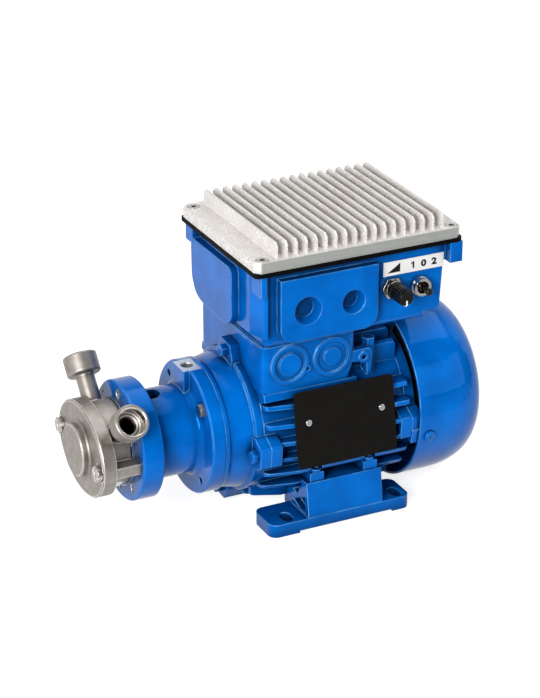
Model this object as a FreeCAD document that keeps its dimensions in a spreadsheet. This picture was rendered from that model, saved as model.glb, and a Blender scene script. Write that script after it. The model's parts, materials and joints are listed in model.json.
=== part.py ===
import FreeCAD, Part
import math
import os
import re
import Sketcher

# Flexible impeller pump with its bracket, foot-mounted motor and box drive.
# X runs along the shaft: the pump is at -X and the fan at +X. -Y is the side with the
# nameplate and the knobs, +Z is up, and z = 0 is the underside of the feet. The origin is
# the centre of the four foot holes. Pieces are drawn round the shaft line and then lifted
# to the shaft height. Angles round the shaft are read from -Y towards +Z.

Vector = FreeCAD.Vector
Rotation = FreeCAD.Rotation

SIZES = {
    # whole machine
    "axis_height": 63,
    "foot_hole_spread": 80,
    "foot_hole_gap": 100,
    "shoulder_distance": 40,
    "head_turn": 6,
    "flange_turn": 5,
    "running_gap": 0.3,
    "bearing_gap": 0.04,
    "screw_gap": 0.15,
    # pump cover
    "cover_half_length": 38,
    "cover_half_height": 30,
    "cover_thickness": 9.6,
    "cover_bevel": 1.1,
    "boss_radius": 17.3,
    "boss_height": 5.5,
    "boss_fillet": 1.8,
    "bush_radius": 8,
    "bush_length": 9,
    "cover_screw_offset": 31.4,
    "cover_screw_radius": 2,
    "cover_screw_head_radius": 5.5,
    "cover_screw_head_height": 3.8,
    "cover_screw_slot": 1.3,
    "cover_screw_grip": 10,
    "spot_face_depth": 0.6,
    # pump body
    "body_radius": 28.5,
    "body_length": 13,
    "chamber_radius": 24.8,
    "cam_height": 2.1,
    "cam_half_angle": 24,
    "cover_gasket_thickness": 0.4,
    "body_gasket_thickness": 0.9,
    "gasket_inner_radius": 25.2,
    "gasket_outer_radius": 28.2,
    "rib_reach": 36.7,
    "rib_height": 7.4,
    "port_angle": 46.5,
    "port_reach": 60.6,
    "socket_length": 13.2,
    "socket_radius": 11.2,
    "socket_round": 1.2,
    "socket_bore_radius": 8.4,
    "socket_bore_depth": 10.8,
    "port_seat_radius": 6.4,
    "port_seat_depth": 14,
    "neck_radius": 6.2,
    "port_hole_radius": 4.7,
    # impeller and pump shaft
    "impeller_radius": 22.2,
    "impeller_hub_radius": 10,
    "vane_thickness": 2.6,
    "vane_tip_radius": 2.1,
    "vane_count": 6,
    "pump_shaft_radius": 5,
    "impeller_key_width": 3,
    "sleeve_radius": 9,
    "sleeve_length": 23,
    "key_width": 4,
    "key_length": 14,
    "key_stand": 1.5,
    "set_screw_radius": 2.5,
    # seal and back plate
    "back_plate_radius": 29,
    "back_plate_thickness": 3,
    "seal_cup_radius": 12,
    "seal_cup_depth": 9,
    "seal_cup_wall": 2,
    "seal_length": 7,
    "slinger_radius": 13,
    "slinger_thickness": 3,
    # bracket
    "pump_flange_radius": 39.9,
    "pump_flange_thickness": 14.7,
    "lantern_radius": 29.5,
    "lantern_length": 31.4,
    "lantern_wall": 5,
    "motor_flange_radius": 44.5,
    "motor_flange_thickness": 9,
    "bracket_fillet": 4.5,
    "bracket_edge": 0.8,
    "window_width": 13,
    "window_length": 13.5,
    "mount_hole_radius": 3.2,
    "mount_hole_circle": 32.6,
    "upper_mount_angle": 91,
    "lower_mount_angle": -52,
    "dowel_hole_radius": 1.8,
    "dowel_hole_circle": 34.2,
    "upper_dowel_angle": 136,
    "lower_dowel_angle": -92,
    "pad_top": 43.6,
    "pad_half_width": 8.7,
    "pad_front_reach": 4.1,
    "pad_hole_radius": 4,
    "pad_hole_setback": 6.8,
    "pilot_radius": 30,
    "pilot_depth": 2.4,
    "flange_bolt_circle": 37.5,
    "flange_bolt_radius": 2.5,
    "flange_bolt_flats": 8,
    "flange_bolt_head": 3.2,
    "flange_bolt_grip": 8,
    # motor housing
    "shield_depth": 25.5,
    "shield_ring_length": 3,
    "bell_front_radius": 43.4,
    "bell_rear_radius": 46,
    "rim_radius": 48,
    "rim_length": 6,
    "housing_wall": 6,
    "frame_length": 102.5,
    "fin_envelope_radius": 57.5,
    "fin_front_radius": 53.3,
    "fin_taper_length": 22,
    "fin_thickness": 2.6,
    "fin_pitch": 11.7,
    "fin_middle": 1.5,
    "top_fin_pitch": 10.5,
    "frame_post_flats": 8,
    "frame_post_x": 27,
    "frame_post_y": -34,
    "frame_post_top": 55.4,
    "lug_bolt_circle": 51.5,
    "lug_reach": 58,
    "lug_half_width": 7,
    "lug_base_half_width": 11,
    "lug_thickness": 7.5,
    "lug_bolt_radius": 2.5,
    "lug_bolt_flats": 8,
    "lug_bolt_head": 3.9,
    "lug_bolt_grip": 14,
    "bearing_radius": 16,
    "bearing_bore_radius": 6,
    "bearing_width": 10,
    "bearing_hub_radius": 20,
    "shaft_end_radius": 5.5,
    "shaft_end_length": 23,
    "shaft_core_radius": 8,
    "rotor_radius": 23.4,
    "stator_bore_radius": 24,
    "stack_length": 50,
    "stack_start": -33,
    "winding_length": 17,
    "winding_inner_radius": 26,
    "winding_outer_radius": 39.5,
    # fan end
    "fan_shield_depth": 7.5,
    "cowl_radius": 60.75,
    "cowl_gap": 4.7,
    "cowl_barrel_length": 19.7,
    "cowl_dome_length": 34.4,
    "cowl_back_radius": 37.3,
    "cowl_roundness": 2.43,
    "cowl_wall": 1.5,
    "cowl_screw_turn": 12,
    "cowl_screw_radius": 2,
    "cowl_screw_head_radius": 4,
    "cowl_screw_head_height": 2.2,
    "cowl_screw_inset": 7.6,
    "cowl_arm_width": 10,
    "cowl_arm_height": 7,
    "grille_hole_radius": 2.4,
    "grille_pitch": 7.6,
    "fan_radius": 47,
    "fan_hub_radius": 12,
    "fan_gap": 4.5,
    "fan_width": 17,
    "fan_blade_thickness": 1.8,
    "fan_blade_count": 9,
    "clip_thickness": 1.2,
    # feet
    "foot_front_overhang": 0.15,
    "foot_rear_inset": 0.2,
    "foot_end_margin": 6,
    "foot_outer": 58.9,
    "foot_inner": 31,
    "foot_thickness": 8.9,
    "foot_corner": 6,
    "foot_relief": 1.5,
    "foot_relief_half_length": 34,
    "foot_slot_radius": 3.8,
    "foot_slot_length": 12.6,
    "web_front": -27.7,
    "web_rear": 27,
    "web_height": 32.4,
    "web_lean": 3.9,
    "web_top_width": 7.5,
    "web_recess": 5,
    "foot_screw_radius": 2,
    "foot_screw_head_radius": 3.6,
    "foot_screw_head_height": 2.4,
    "foot_screw_spread": 39,
    "foot_lug_height": 6,
    "foot_lug_half_length": 5,
    "foot_lug_reach": 2.8,
    # nameplate
    "nameplate_length": 71.8,
    "nameplate_width": 51.2,
    "nameplate_thickness": 1,
    "nameplate_corner": 3,
    "nameplate_tilt": 9.5,
    "nameplate_radius": 57.8,
    "nameplate_middle": -0.5,
    "rivet_spread": 53,
    "rivet_height": 4.5,
    "rivet_radius": 1.2,
    "rivet_head_radius": 2.2,
    "rivet_head_height": 0.9,
    "rivet_boss_radius": 4,
    # terminal base
    "saddle_half_width": 47,
    "saddle_top": 35,
    "saddle_side_half_width": 48.3,
    "saddle_side_level": 30,
    "saddle_root_half_width": 38,
    "saddle_root_level": 26,
    "base_overhang": 1,
    "base_length": 67,
    "base_height": 32.5,
    "base_wall": 4,
    "base_corner": 5,
    "base_rear_slope": 6.7,
    "knockout_ring_radius": 13.5,
    "knockout_radius": 7.7,
    "small_knockout_radius": 6.4,
    "knockout_rise": 18.2,
    "knockout_inset": 19.2,
    "knockout_spread": 30.3,
    "ring_raise": 1.2,
    "pip_x": -23.8,
    "pip_drop": 19.3,
    "pip_radius": 2.6,
    "pip_hole_radius": 1.3,
    "pip_depth": 2.5,
    "seal_strip": 0.5,
    "box_screw_radius": 1.75,
    "box_screw_head_radius": 3.4,
    "box_screw_head_height": 2.4,
    "box_screw_nut_flats": 7,
    "box_screw_nut_height": 3.2,
    "box_screw_x": 22,
    "box_screw_y": 30,
    "earth_ear_reach": 11.7,
    "earth_ear_drop": 13.9,
    "earth_ear_leg": 3.2,
    "earth_ear_width": 5,
    "earth_hole_radius": 1.7,
    "earth_hole_reach": 5.4,
    "earth_hole_drop": 19.4,
    "earth_boss_radius": 3.8,
    "wire_hole_radius": 7,
    "wire_hole_y": 17,
    "terminal_shift": 4,
    "terminal_half_length": 22,
    "terminal_near_side": -25,
    "terminal_far_side": 1,
    "terminal_thickness": 6,
    "stud_radius": 2,
    "stud_length": 11,
    "stud_pitch": 14,
    "stud_first_y": -19,
    "stud_nut_flats": 7,
    "stud_nut_height": 3,
    # drive housing
    "box_setback": 0.5,
    "box_length": 128,
    "box_rear_draft": 3,
    "box_half_width": 50,
    "box_height": 52.5,
    "box_wall": 3.5,
    "box_corner": 5,
    "box_step_inset": 13,
    "box_step_height": 5.5,
    "side_panel_inset": 8.3,
    "knob_panel_gap": 12.2,
    "side_panel_raise": 5.5,
    "side_panel_bottom": 4,
    "side_panel_drop": 5.5,
    "side_panel_corner": 10,
    "front_panel_raise": 5.4,
    "front_entry_inset": 19.2,
    "rear_entry_inset": 17.4,
    "entry_level": 24,
    "front_entry_radius": 9.5,
    "rear_entry_radius": 8.2,
    "entry_depth": 6.4,
    "entry_inset": 3,
    "corner_lug_drop": 14,
    "corner_lug_setback": 1,
    "near_lug_length": 4,
    "near_lug_width": 13.7,
    "far_lug_length": 13,
    "far_lug_width": 10.2,
    "pilaster_reach": 7,
    "pilaster_rise": 3.8,
    "pilaster_width": 16,
    "pilaster_slant": 5,
    "pilaster_round": 2.4,
    "box_gasket_thickness": 2.7,
    "sink_front_overhang": 9.2,
    "sink_rear_overhang": 8.9,
    "sink_side_overhang": 6.7,
    "sink_thickness": 7.1,
    "sink_corner": 4,
    "gasket_overhang": 0.7,
    "sink_fin_count": 18,
    "sink_fin_inset": 15.6,
    "sink_fin_pitch": 6.92,
    "sink_fin_thickness": 1.5,
    "sink_fin_height": 10.3,
    "sink_fin_side_inset": 3.1,
    "sink_fin_bevel": 2.6,
    "sink_screw_front_inset": 6.7,
    "sink_screw_rear_inset": 5.1,
    "sink_screw_side_inset": 5.7,
    "sink_screw_radius": 2,
    "sink_screw_head_radius": 3.9,
    "sink_screw_head_height": 3.6,
    "board_thickness": 1.6,
    "board_drop": 9,
    "board_end_gap": 9,
    "board_rear_gap": 11,
    "board_side_gap": 10,
    "board_post_inset": 6,
    "board_post_radius": 3.2,
    "board_screw_radius": 1.25,
    "board_screw_head_radius": 2.6,
    "board_screw_head_height": 1.8,
    "capacitor_first_x": -24,
    "capacitor_pitch": 21,
    "capacitor_y": 12,
    "capacitor_count": 3,
    "capacitor_radius": 9,
    "capacitor_length": 22,
    # controls
    "knob_inset": 38.5,
    "knob_rise": 26.5,
    "knob_base_radius": 6,
    "knob_tip_radius": 4.8,
    "knob_start": 6.2,
    "knob_end": 21,
    "knob_rib_count": 18,
    "knob_rib_radius": 0.5,
    "pot_bush_radius": 3.5,
    "pot_shaft_radius": 3,
    "pot_nut_radius": 7.5,
    "pot_nut_thickness": 2.6,
    "pot_collar_radius": 5.4,
    "pot_body_radius": 8,
    "pot_body_depth": 9,
    "toggle_inset": 18.2,
    "toggle_rise": 24.5,
    "toggle_ring_radius": 6.4,
    "toggle_ring_length": 2.4,
    "toggle_bush_radius": 5,
    "toggle_bush_length": 5.6,
    "toggle_ball_radius": 3.9,
    "toggle_root_radius": 1.9,
    "toggle_tip_radius": 2.4,
    "toggle_reach": 12.7,
    "label_length": 43.8,
    "label_inset": 0.8,
    "label_rise": 34.6,
    "label_height": 9.6,
    "label_thickness": 0.5,
}

doc = FreeCAD.newDocument("flexible_impeller_pump")
sheet = doc.addObject("Spreadsheet::Sheet", "Sizes")
for row, (size_name, size) in enumerate(SIZES.items(), start=1):
    sheet.set(f"A{row}", size_name)
    sheet.set(f"B{row}", str(size))
    sheet.setAlias(f"B{row}", size_name)
doc.recompute()

gauge = doc.addObject("App::FeaturePython", "Gauge")
gauge.addProperty("App::PropertyFloat", "Reading")

SIZE_WORD = re.compile(r"\b[a-z]\w*\b")
TURN_TO = {
    "X": Rotation(Vector(0, 1, 0), 90),
    "Y": Rotation(Vector(1, 0, 0), -90),
    "Z": Rotation(),
}
TOUCH = 0.001
nodes = []

# Stations along the shaft, each worked out from the one behind it
DRIVE_FACE = "(-foot_hole_spread/2 - shoulder_distance)"
MOTOR_FLANGE_FRONT = f"({DRIVE_FACE} - motor_flange_thickness)"
PUMP_FLANGE_REAR = f"({MOTOR_FLANGE_FRONT} - lantern_length)"
PUMP_FLANGE_FRONT = f"({PUMP_FLANGE_REAR} - pump_flange_thickness)"
PLATE_FRONT = f"({PUMP_FLANGE_FRONT} - back_plate_thickness)"
BODY_REAR = f"({PLATE_FRONT} - body_gasket_thickness)"
BODY_FRONT = f"({BODY_REAR} - body_length)"
COVER_REAR = f"({BODY_FRONT} - cover_gasket_thickness)"
COVER_FRONT = f"({COVER_REAR} - cover_thickness)"
FRAME_FRONT = f"({DRIVE_FACE} + shield_depth)"
FRAME_REAR = f"({FRAME_FRONT} + frame_length)"
FAN_SHIELD_REAR = f"({FRAME_REAR} + fan_shield_depth)"
FRONT_BEARING = f"({DRIVE_FACE} + 4)"
REAR_BEARING = f"({FRAME_REAR} - 3)"
STACK_END = "(stack_start + stack_length)"
SHAFT_FRONT = f"({DRIVE_FACE} - shaft_end_length)"
# Levels above the shaft line
BASE_TOP = "(saddle_top + base_height)"
BOX_BOTTOM = f"({BASE_TOP} + seal_strip)"
BOX_TOP = f"({BOX_BOTTOM} + box_height)"
SINK_BOTTOM = f"({BOX_TOP} + box_gasket_thickness)"
SINK_TOP = f"({SINK_BOTTOM} + sink_thickness)"
FIN_TOP = f"({SINK_TOP} + sink_fin_height)"
BOARD_TOP = f"({SINK_BOTTOM} - board_drop)"
BOARD_BOTTOM = f"({BOARD_TOP} - board_thickness)"
ENTRY_LEVEL = f"({BOX_BOTTOM} + entry_level)"


# Places of pieces that follow from the piece they sit on
PLACES = {
    "cowl_start": f"({FRAME_REAR} + cowl_gap)",
    "cowl_screw_x": "(cowl_start + cowl_screw_inset)",
    "fan_start": f"({FAN_SHIELD_REAR} + fan_gap)",
    "foot_front": f"({FRAME_FRONT} - foot_front_overhang)",
    "foot_rear": f"max({FRAME_REAR} - foot_rear_inset; foot_hole_spread/2 + foot_end_margin)",
    "base_front": f"({FRAME_FRONT} - base_overhang)",
    "base_rear": "(base_front + base_length)",
    "front_knockout_x": "(base_front + knockout_inset)",
    "rear_knockout_x": "(front_knockout_x + knockout_spread)",
    "knockout_level": "(saddle_top + knockout_rise)",
    "box_front": "(base_front + box_setback)",
    "box_rear": "(box_front + box_length)",
    "box_step_x": "(box_rear - box_step_inset)",
    "side_panel_front": "(box_front + side_panel_inset)",
    "side_panel_rear": "(knob_x - knob_panel_gap)",
    "front_entry_x": "(side_panel_front + front_entry_inset)",
    "rear_entry_x": "(side_panel_rear - rear_entry_inset)",
    "sink_front": "(box_front - sink_front_overhang)",
    "sink_rear": "(box_rear + sink_rear_overhang)",
    "sink_half_width": "(box_half_width + sink_side_overhang)",
    "sink_fin_first": "(sink_front + sink_fin_inset)",
    "sink_fin_half_length": "(sink_half_width - sink_fin_side_inset)",
    "sink_screw_front": "(sink_front + sink_screw_front_inset)",
    "sink_screw_rear": "(sink_rear - sink_screw_rear_inset)",
    "sink_screw_offset": "(sink_half_width - sink_screw_side_inset)",
    "board_front": "(box_front + board_end_gap)",
    "board_rear": "(box_rear - board_rear_gap)",
    "board_half_width": "(box_half_width - board_side_gap)",
    "board_post_front": "(board_front + board_post_inset)",
    "board_post_rear": "(board_rear - board_post_inset)",
    "board_post_y": "(board_half_width - board_post_inset)",
    "knob_x": "(box_rear - knob_inset)",
    "knob_level": f"({BOX_BOTTOM} + knob_rise)",
    "toggle_x": "(box_rear - toggle_inset)",
    "toggle_level": f"({BOX_BOTTOM} + toggle_rise)",
    "label_rear": "(box_rear - label_inset)",
    "label_front": "(label_rear - label_length)",
    "label_bottom": f"({BOX_BOTTOM} + label_rise)",
}


def sheet_word(word):
    """A size as the sheet knows it, or the rule of a place written out."""
    if word[0] in PLACES:
        return SIZE_WORD.sub(sheet_word, PLACES[word[0]])
    return f"Sizes.{word[0]}" if word[0] in SIZES else word[0]


def formula(rule):
    """The rule as the sheet reads it."""
    return SIZE_WORD.sub(sheet_word, str(rule))


def number(rule):
    """The value of a rule, in millimetres or degrees."""
    gauge.setExpression("Reading", formula(rule))
    gauge.recompute()
    return gauge.Reading


def bind(item, rules):
    """Tie each named property of the item to its rule."""
    for name, rule in rules.items():
        item.setExpression(name, formula(rule))
    return item


def put(item, x="0", y="0", z="0", axis=None, angle=None):
    """Place the item at x, y, z, turned by an angle about an axis."""
    if axis is not None:
        item.Placement = FreeCAD.Placement(Vector(), Rotation(Vector(*axis), number(angle)))
        bind(item, {"Placement.Rotation.Angle": f"({angle}) * 1 deg"} if number(angle) else {})
    return bind(item, {"Placement.Base.x": x, "Placement.Base.y": y, "Placement.Base.z": z})


def rod(name, radius, start, end, first="0", second="0", axis="X"):
    """A round bar along an axis, with its two other coordinates in X, Y, Z order."""
    bar = doc.addObject("Part::Cylinder", name)
    bar.Placement = FreeCAD.Placement(Vector(), TURN_TO[axis])
    place = {"X": (start, first, second), "Y": (first, start, second), "Z": (first, second, start)}[axis]
    bind(bar, {"Radius": radius, "Height": f"({end}) - ({start})"})
    return put(bar, *place)


def block(name, x, y, z):
    """A plain block between two values on each axis."""
    box = doc.addObject("Part::Box", name)
    bind(box, {"Length": f"({x[1]}) - ({x[0]})", "Width": f"({y[1]}) - ({y[0]})",
               "Height": f"({z[1]}) - ({z[0]})"})
    return put(box, x[0], y[0], z[0])


def outline_in(body, plane, points):
    """A closed sketch through the points, each tied to its rules."""
    sketch = body.newObject("Sketcher::SketchObject", f"{body.Name}_outline")
    origin_plane = [item for item in body.Origin.OriginFeatures if item.Role == f"{plane}_Plane"][0]
    sketch.AttachmentSupport = [(origin_plane, "")]
    sketch.MapMode = "FlatFace"
    places = [Vector(number(first), number(second), 0) for first, second in points]
    sides = [Part.LineSegment(here, there) for here, there in zip(places, places[1:] + places[:1])]
    sketch.addGeometry(sides, False)
    for side, (first, second) in enumerate(points):
        sketch.addConstraint(Sketcher.Constraint("Coincident", side, 2, (side + 1) % len(points), 1))
        for direction, rule, value in (("DistanceX", first, places[side].x),
                                       ("DistanceY", second, places[side].y)):
            if value == 0:
                line = -2 if direction == "DistanceX" else -1
                sketch.addConstraint(Sketcher.Constraint("PointOnObject", side, 1, line))
            else:
                tie = sketch.addConstraint(Sketcher.Constraint(direction, -1, 1, side, 1, value))
                sketch.setExpression(f"Constraints[{tie}]", formula(rule))
    return sketch


def near(first, second):
    """Whether two numbers are the same place."""
    return abs(first - second) < TOUCH


def soften(body, corners, spot_of, points, kind="PartDesign::Fillet"):
    """Round, or bevel, the edges that run through the numbered corners of an outline."""
    sizes = {}
    for corner, size in corners.items():
        sizes.setdefault(size, []).append(corner)
    for size, same in sizes.items():
        doc.recompute()
        spots = [(number(points[corner][0]), number(points[corner][1])) for corner in same]
        names = []
        for index, edge in enumerate(body.Tip.Shape.Edges, start=1):
            ends = [spot_of(end.Point) for end in edge.Vertexes]
            for spot in spots:
                if all(near(end[0], spot[0]) and near(end[1], spot[1]) for end in ends):
                    names.append(f"Edge{index}")
                    break
        tip = body.Tip
        softened = body.newObject(kind, f"{body.Name}_edge")
        softened.Base = (tip, names)
        bind(softened, {"Size" if kind.endswith("Chamfer") else "Radius": size})
    return body


def turned(name, points, rounds=None, bevels=None):
    """A turned piece: the outline of (place along the shaft, radius) points, spun about the shaft."""
    body = doc.addObject("PartDesign::Body", name)
    sketch = outline_in(body, "XY", points)
    spun = body.newObject("PartDesign::Revolution", f"{name}_spun")
    spun.Profile = sketch
    spun.ReferenceAxis = (sketch, ["H_Axis"])
    spun.Angle = 360

    def spot_of(point):
        return point.x, math.hypot(point.y, point.z)

    soften(body, bevels or {}, spot_of, points, "PartDesign::Chamfer")
    return soften(body, rounds or {}, spot_of, points)


def slab(name, plane, points, start, end, rounds=None):
    """A flat piece: the outline in its plane, given a thickness from start to end."""
    body = doc.addObject("PartDesign::Body", name)
    sketch = outline_in(body, plane, points)
    pad = body.newObject("PartDesign::Pad", f"{name}_pad")
    pad.Profile = sketch
    pad.Reversed = plane == "XZ"
    bind(pad, {"Length": f"({end}) - ({start})"})
    spots = {
        "XY": lambda point: (point.x, point.y),
        "XZ": lambda point: (point.x, point.z),
        "YZ": lambda point: (point.y, point.z),
    }
    soften(body, rounds or {}, spots[plane], points)
    place = {"XY": ("0", "0", start), "XZ": ("0", start, "0"), "YZ": (start, "0", "0")}[plane]
    return put(body, *place)


def hexagon(name, flats, start, end, first="0", second="0", axis="X"):
    """A six-sided head or nut along an axis."""
    head = doc.addObject("Part::Prism", name)
    head.Placement = FreeCAD.Placement(Vector(), TURN_TO[axis])
    place = {"X": (start, first, second), "Y": (first, start, second), "Z": (first, second, start)}[axis]
    bind(head, {"Circumradius": f"({flats})/sqrt(3)", "Height": f"({end}) - ({start})"})
    return put(head, *place)


def fused(name, pieces):
    """The pieces as one solid."""
    whole = doc.addObject("Part::MultiFuse", name)
    whole.Shapes = pieces
    whole.Refine = True
    return whole


def less(name, base, tools):
    """The base with the tools cut away."""
    whole = doc.addObject("Part::Cut", name)
    whole.Base = base
    whole.Tool = tools[0] if len(tools) == 1 else group(f"{name}_tools", tools)
    return whole


def shared(name, first, second):
    """The space that two pieces share."""
    common = doc.addObject("Part::Common", name)
    common.Base = first
    common.Tool = second
    return common


def group(name, pieces):
    """Separate solids that are kept together."""
    compound = doc.addObject("Part::Compound", name)
    compound.Links = pieces
    return compound


def copy_at(name, piece, x="0", y="0", z="0", axis=None, angle=None):
    """A copy of the piece in another place."""
    return put(group(name, [piece]), x, y, z, axis, angle)


def round_shaft(name, piece, angles):
    """Copies of a piece that was drawn straight above the shaft, at angles read from -Y."""
    return [copy_at(f"{name}_{index}", piece, axis=(1, 0, 0), angle=f"90 - ({angle})")
            for index, angle in enumerate(angles)]


def softened(name, piece, size, wanted, kind="Part::Fillet"):
    """The piece with each wanted edge rounded or bevelled."""
    doc.recompute()
    result = doc.addObject(kind, name)
    result.Base = piece
    value = number(size)
    result.Edges = [(index, value, value) for index, edge in enumerate(piece.Shape.Edges, start=1)
                    if wanted(edge)]
    return result


def node(label, piece, lift=True, turn=None):
    """Name a finished sub-part, turn it about the shaft and lift it to the shaft height."""
    if any(path.lstrip(".").startswith("Placement") for path, rule in piece.ExpressionEngine):
        piece = group(f"{label}_whole", [piece])
    piece.Label = label
    if turn:
        put(piece, axis=(1, 0, 0), angle=turn)
    if lift:
        bind(piece, {"Placement.Base.z": "axis_height"})
    nodes.append(piece)
    return piece


def at_angle(radius, angle):
    """The Y and Z of a point round the shaft."""
    return f"-({radius})*cos(({angle}) * 1 deg)", f"({radius})*sin(({angle}) * 1 deg)"


LUG_ANGLES = [f"{quarter} - flange_turn" for quarter in (90, 0, -90, 180)]
FLANGE_ANGLES = [f"{quarter} - flange_turn" for quarter in (45, 135, 225, 315)]
COWL_ANGLES = [f"{quarter} - cowl_screw_turn" for quarter in (0, 90, 180, 270)]
SCREW_SIDES = {"near": "-1", "far": "1"}
FOOT_SIDES = {"near": -1, "far": 1}


def pump_cover():
    """Oval cast cover with a round boss, spot faces for two screws and a blind bush pocket."""
    oval = doc.addObject("Part::Ellipse", "cover_oval")
    oval.Placement = FreeCAD.Placement(Vector(), Rotation(Vector(1, 1, 1), 120))
    bind(oval, {"MajorRadius": "cover_half_length", "MinorRadius": "cover_half_height"})
    put(oval, x=COVER_FRONT)
    plate = doc.addObject("Part::Extrusion", "cover_plate")
    plate.Base = oval
    plate.DirMode = "Custom"
    plate.Dir = Vector(1, 0, 0)
    plate.Solid = True
    bind(plate, {"LengthFwd": "cover_thickness"})
    front = number(COVER_FRONT)
    bevelled = softened("cover_bevelled", plate, "cover_bevel",
                        lambda edge: near(edge.CenterOfMass.x, front), "Part::Chamfer")
    boss = turned("cover_boss", [(f"{COVER_FRONT} + 2", "0"), (f"{COVER_FRONT} + 2", "boss_radius"),
                                 (f"{COVER_FRONT} - boss_height", "boss_radius"),
                                 (f"{COVER_FRONT} - boss_height", "0")], bevels={2: "0.7"})
    solid = fused("cover_solid", [bevelled, boss])
    radius = number("boss_radius")
    filleted = softened("cover_filleted", solid, "boss_fillet",
                        lambda edge: near(edge.BoundBox.XMin, front) and near(edge.BoundBox.XMax, front)
                        and near(edge.BoundBox.ZMax, radius))
    tools = [rod("bush_pocket", "bush_radius", f"{COVER_REAR} - bush_length - running_gap",
                 f"{COVER_REAR} + 1")]
    for side, sign in SCREW_SIDES.items():
        place = f"{sign}*cover_screw_offset"
        tools.append(rod(f"cover_hole_{side}", "cover_screw_radius + screw_gap",
                         f"{COVER_FRONT} - 1", f"{COVER_REAR} + 1", place))
        tools.append(rod(f"cover_spot_{side}", "cover_screw_head_radius + 0.7",
                         f"{COVER_FRONT} - 3", f"{COVER_FRONT} + spot_face_depth", place))
    node("pump_cover", less("pump_cover_cut", filleted, tools), turn="head_turn")


def cover_bush():
    """Plain bush in the cover boss, round the end of the pump shaft."""
    start = f"{COVER_REAR} - bush_length"
    inner = "pump_shaft_radius + bearing_gap"
    node("cover_bush", turned("bush", [(start, inner), (start, "bush_radius"),
                                       (COVER_REAR, "bush_radius"), (COVER_REAR, inner)]))


def cover_screws():
    """Two long slotted screws that clamp cover, body and back plate to the bracket."""
    screws = []
    face = f"({COVER_FRONT} + spot_face_depth)"
    for side, sign in SCREW_SIDES.items():
        place = f"{sign}*cover_screw_offset"
        top = f"{face} - cover_screw_head_height"
        profile = turned(f"cover_screw_{side}", [
            (top, "0"), (top, "cover_screw_head_radius"), (face, "cover_screw_head_radius"),
            (face, "cover_screw_radius"),
            (f"{PUMP_FLANGE_FRONT} + cover_screw_grip", "cover_screw_radius"),
            (f"{PUMP_FLANGE_FRONT} + cover_screw_grip", "0")], bevels={1: "0.6"})
        slot = block(f"cover_slot_{side}", (f"{top} - 1", f"{top} + 1.6"),
                     ("-cover_screw_head_radius - 1", "cover_screw_head_radius + 1"),
                     ("-cover_screw_slot/2", "cover_screw_slot/2"))
        tilted = copy_at(f"cover_slot_tilted_{side}", slot, axis=(1, 0, 0), angle="55")
        screws.append(copy_at(f"cover_screw_set_{side}",
                              less(f"cover_screw_cut_{side}", profile, [tilted]),
                              y=place))
    node("cover_screws", group("cover_screw_pair", screws), turn="head_turn")


def ring(name, inner, outer, start, end):
    """A plain ring round the shaft."""
    return turned(name, [(start, inner), (start, outer), (end, outer), (end, inner)])


def head_gaskets():
    """Flat rings in front of and behind the pump body."""
    node("cover_gasket", ring("front_ring", "gasket_inner_radius", "gasket_outer_radius",
                              COVER_REAR, BODY_FRONT))
    node("body_gasket", ring("rear_ring", "gasket_inner_radius", "gasket_outer_radius",
                             BODY_REAR, PLATE_FRONT))


def port_piece(name, outer):
    """One port round the X axis: its outside with a rounded socket, or the bore through it."""
    mouth = "port_reach"
    shoulder = "(port_reach - socket_length)"
    floor = "(port_reach - socket_bore_depth)"
    if outer:
        return turned(name, [("chamber_radius + 1", "0"), ("chamber_radius + 1", "neck_radius"),
                             (shoulder, "neck_radius"), (shoulder, "socket_radius"),
                             (mouth, "socket_radius"), (mouth, "0")],
                      rounds={3: "socket_round", 4: "1", 2: "1.5"})
    return turned(name, [("chamber_radius - 4", "0"), ("chamber_radius - 4", "port_hole_radius"),
                         ("port_reach - port_seat_depth", "port_hole_radius"),
                         (floor, "port_seat_radius"), (floor, "socket_bore_radius"),
                         (f"{mouth} - 1", "socket_bore_radius"),
                         (f"{mouth} + 1", "socket_bore_radius + 2"),
                         (f"{mouth} + 1", "0")])


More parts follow.
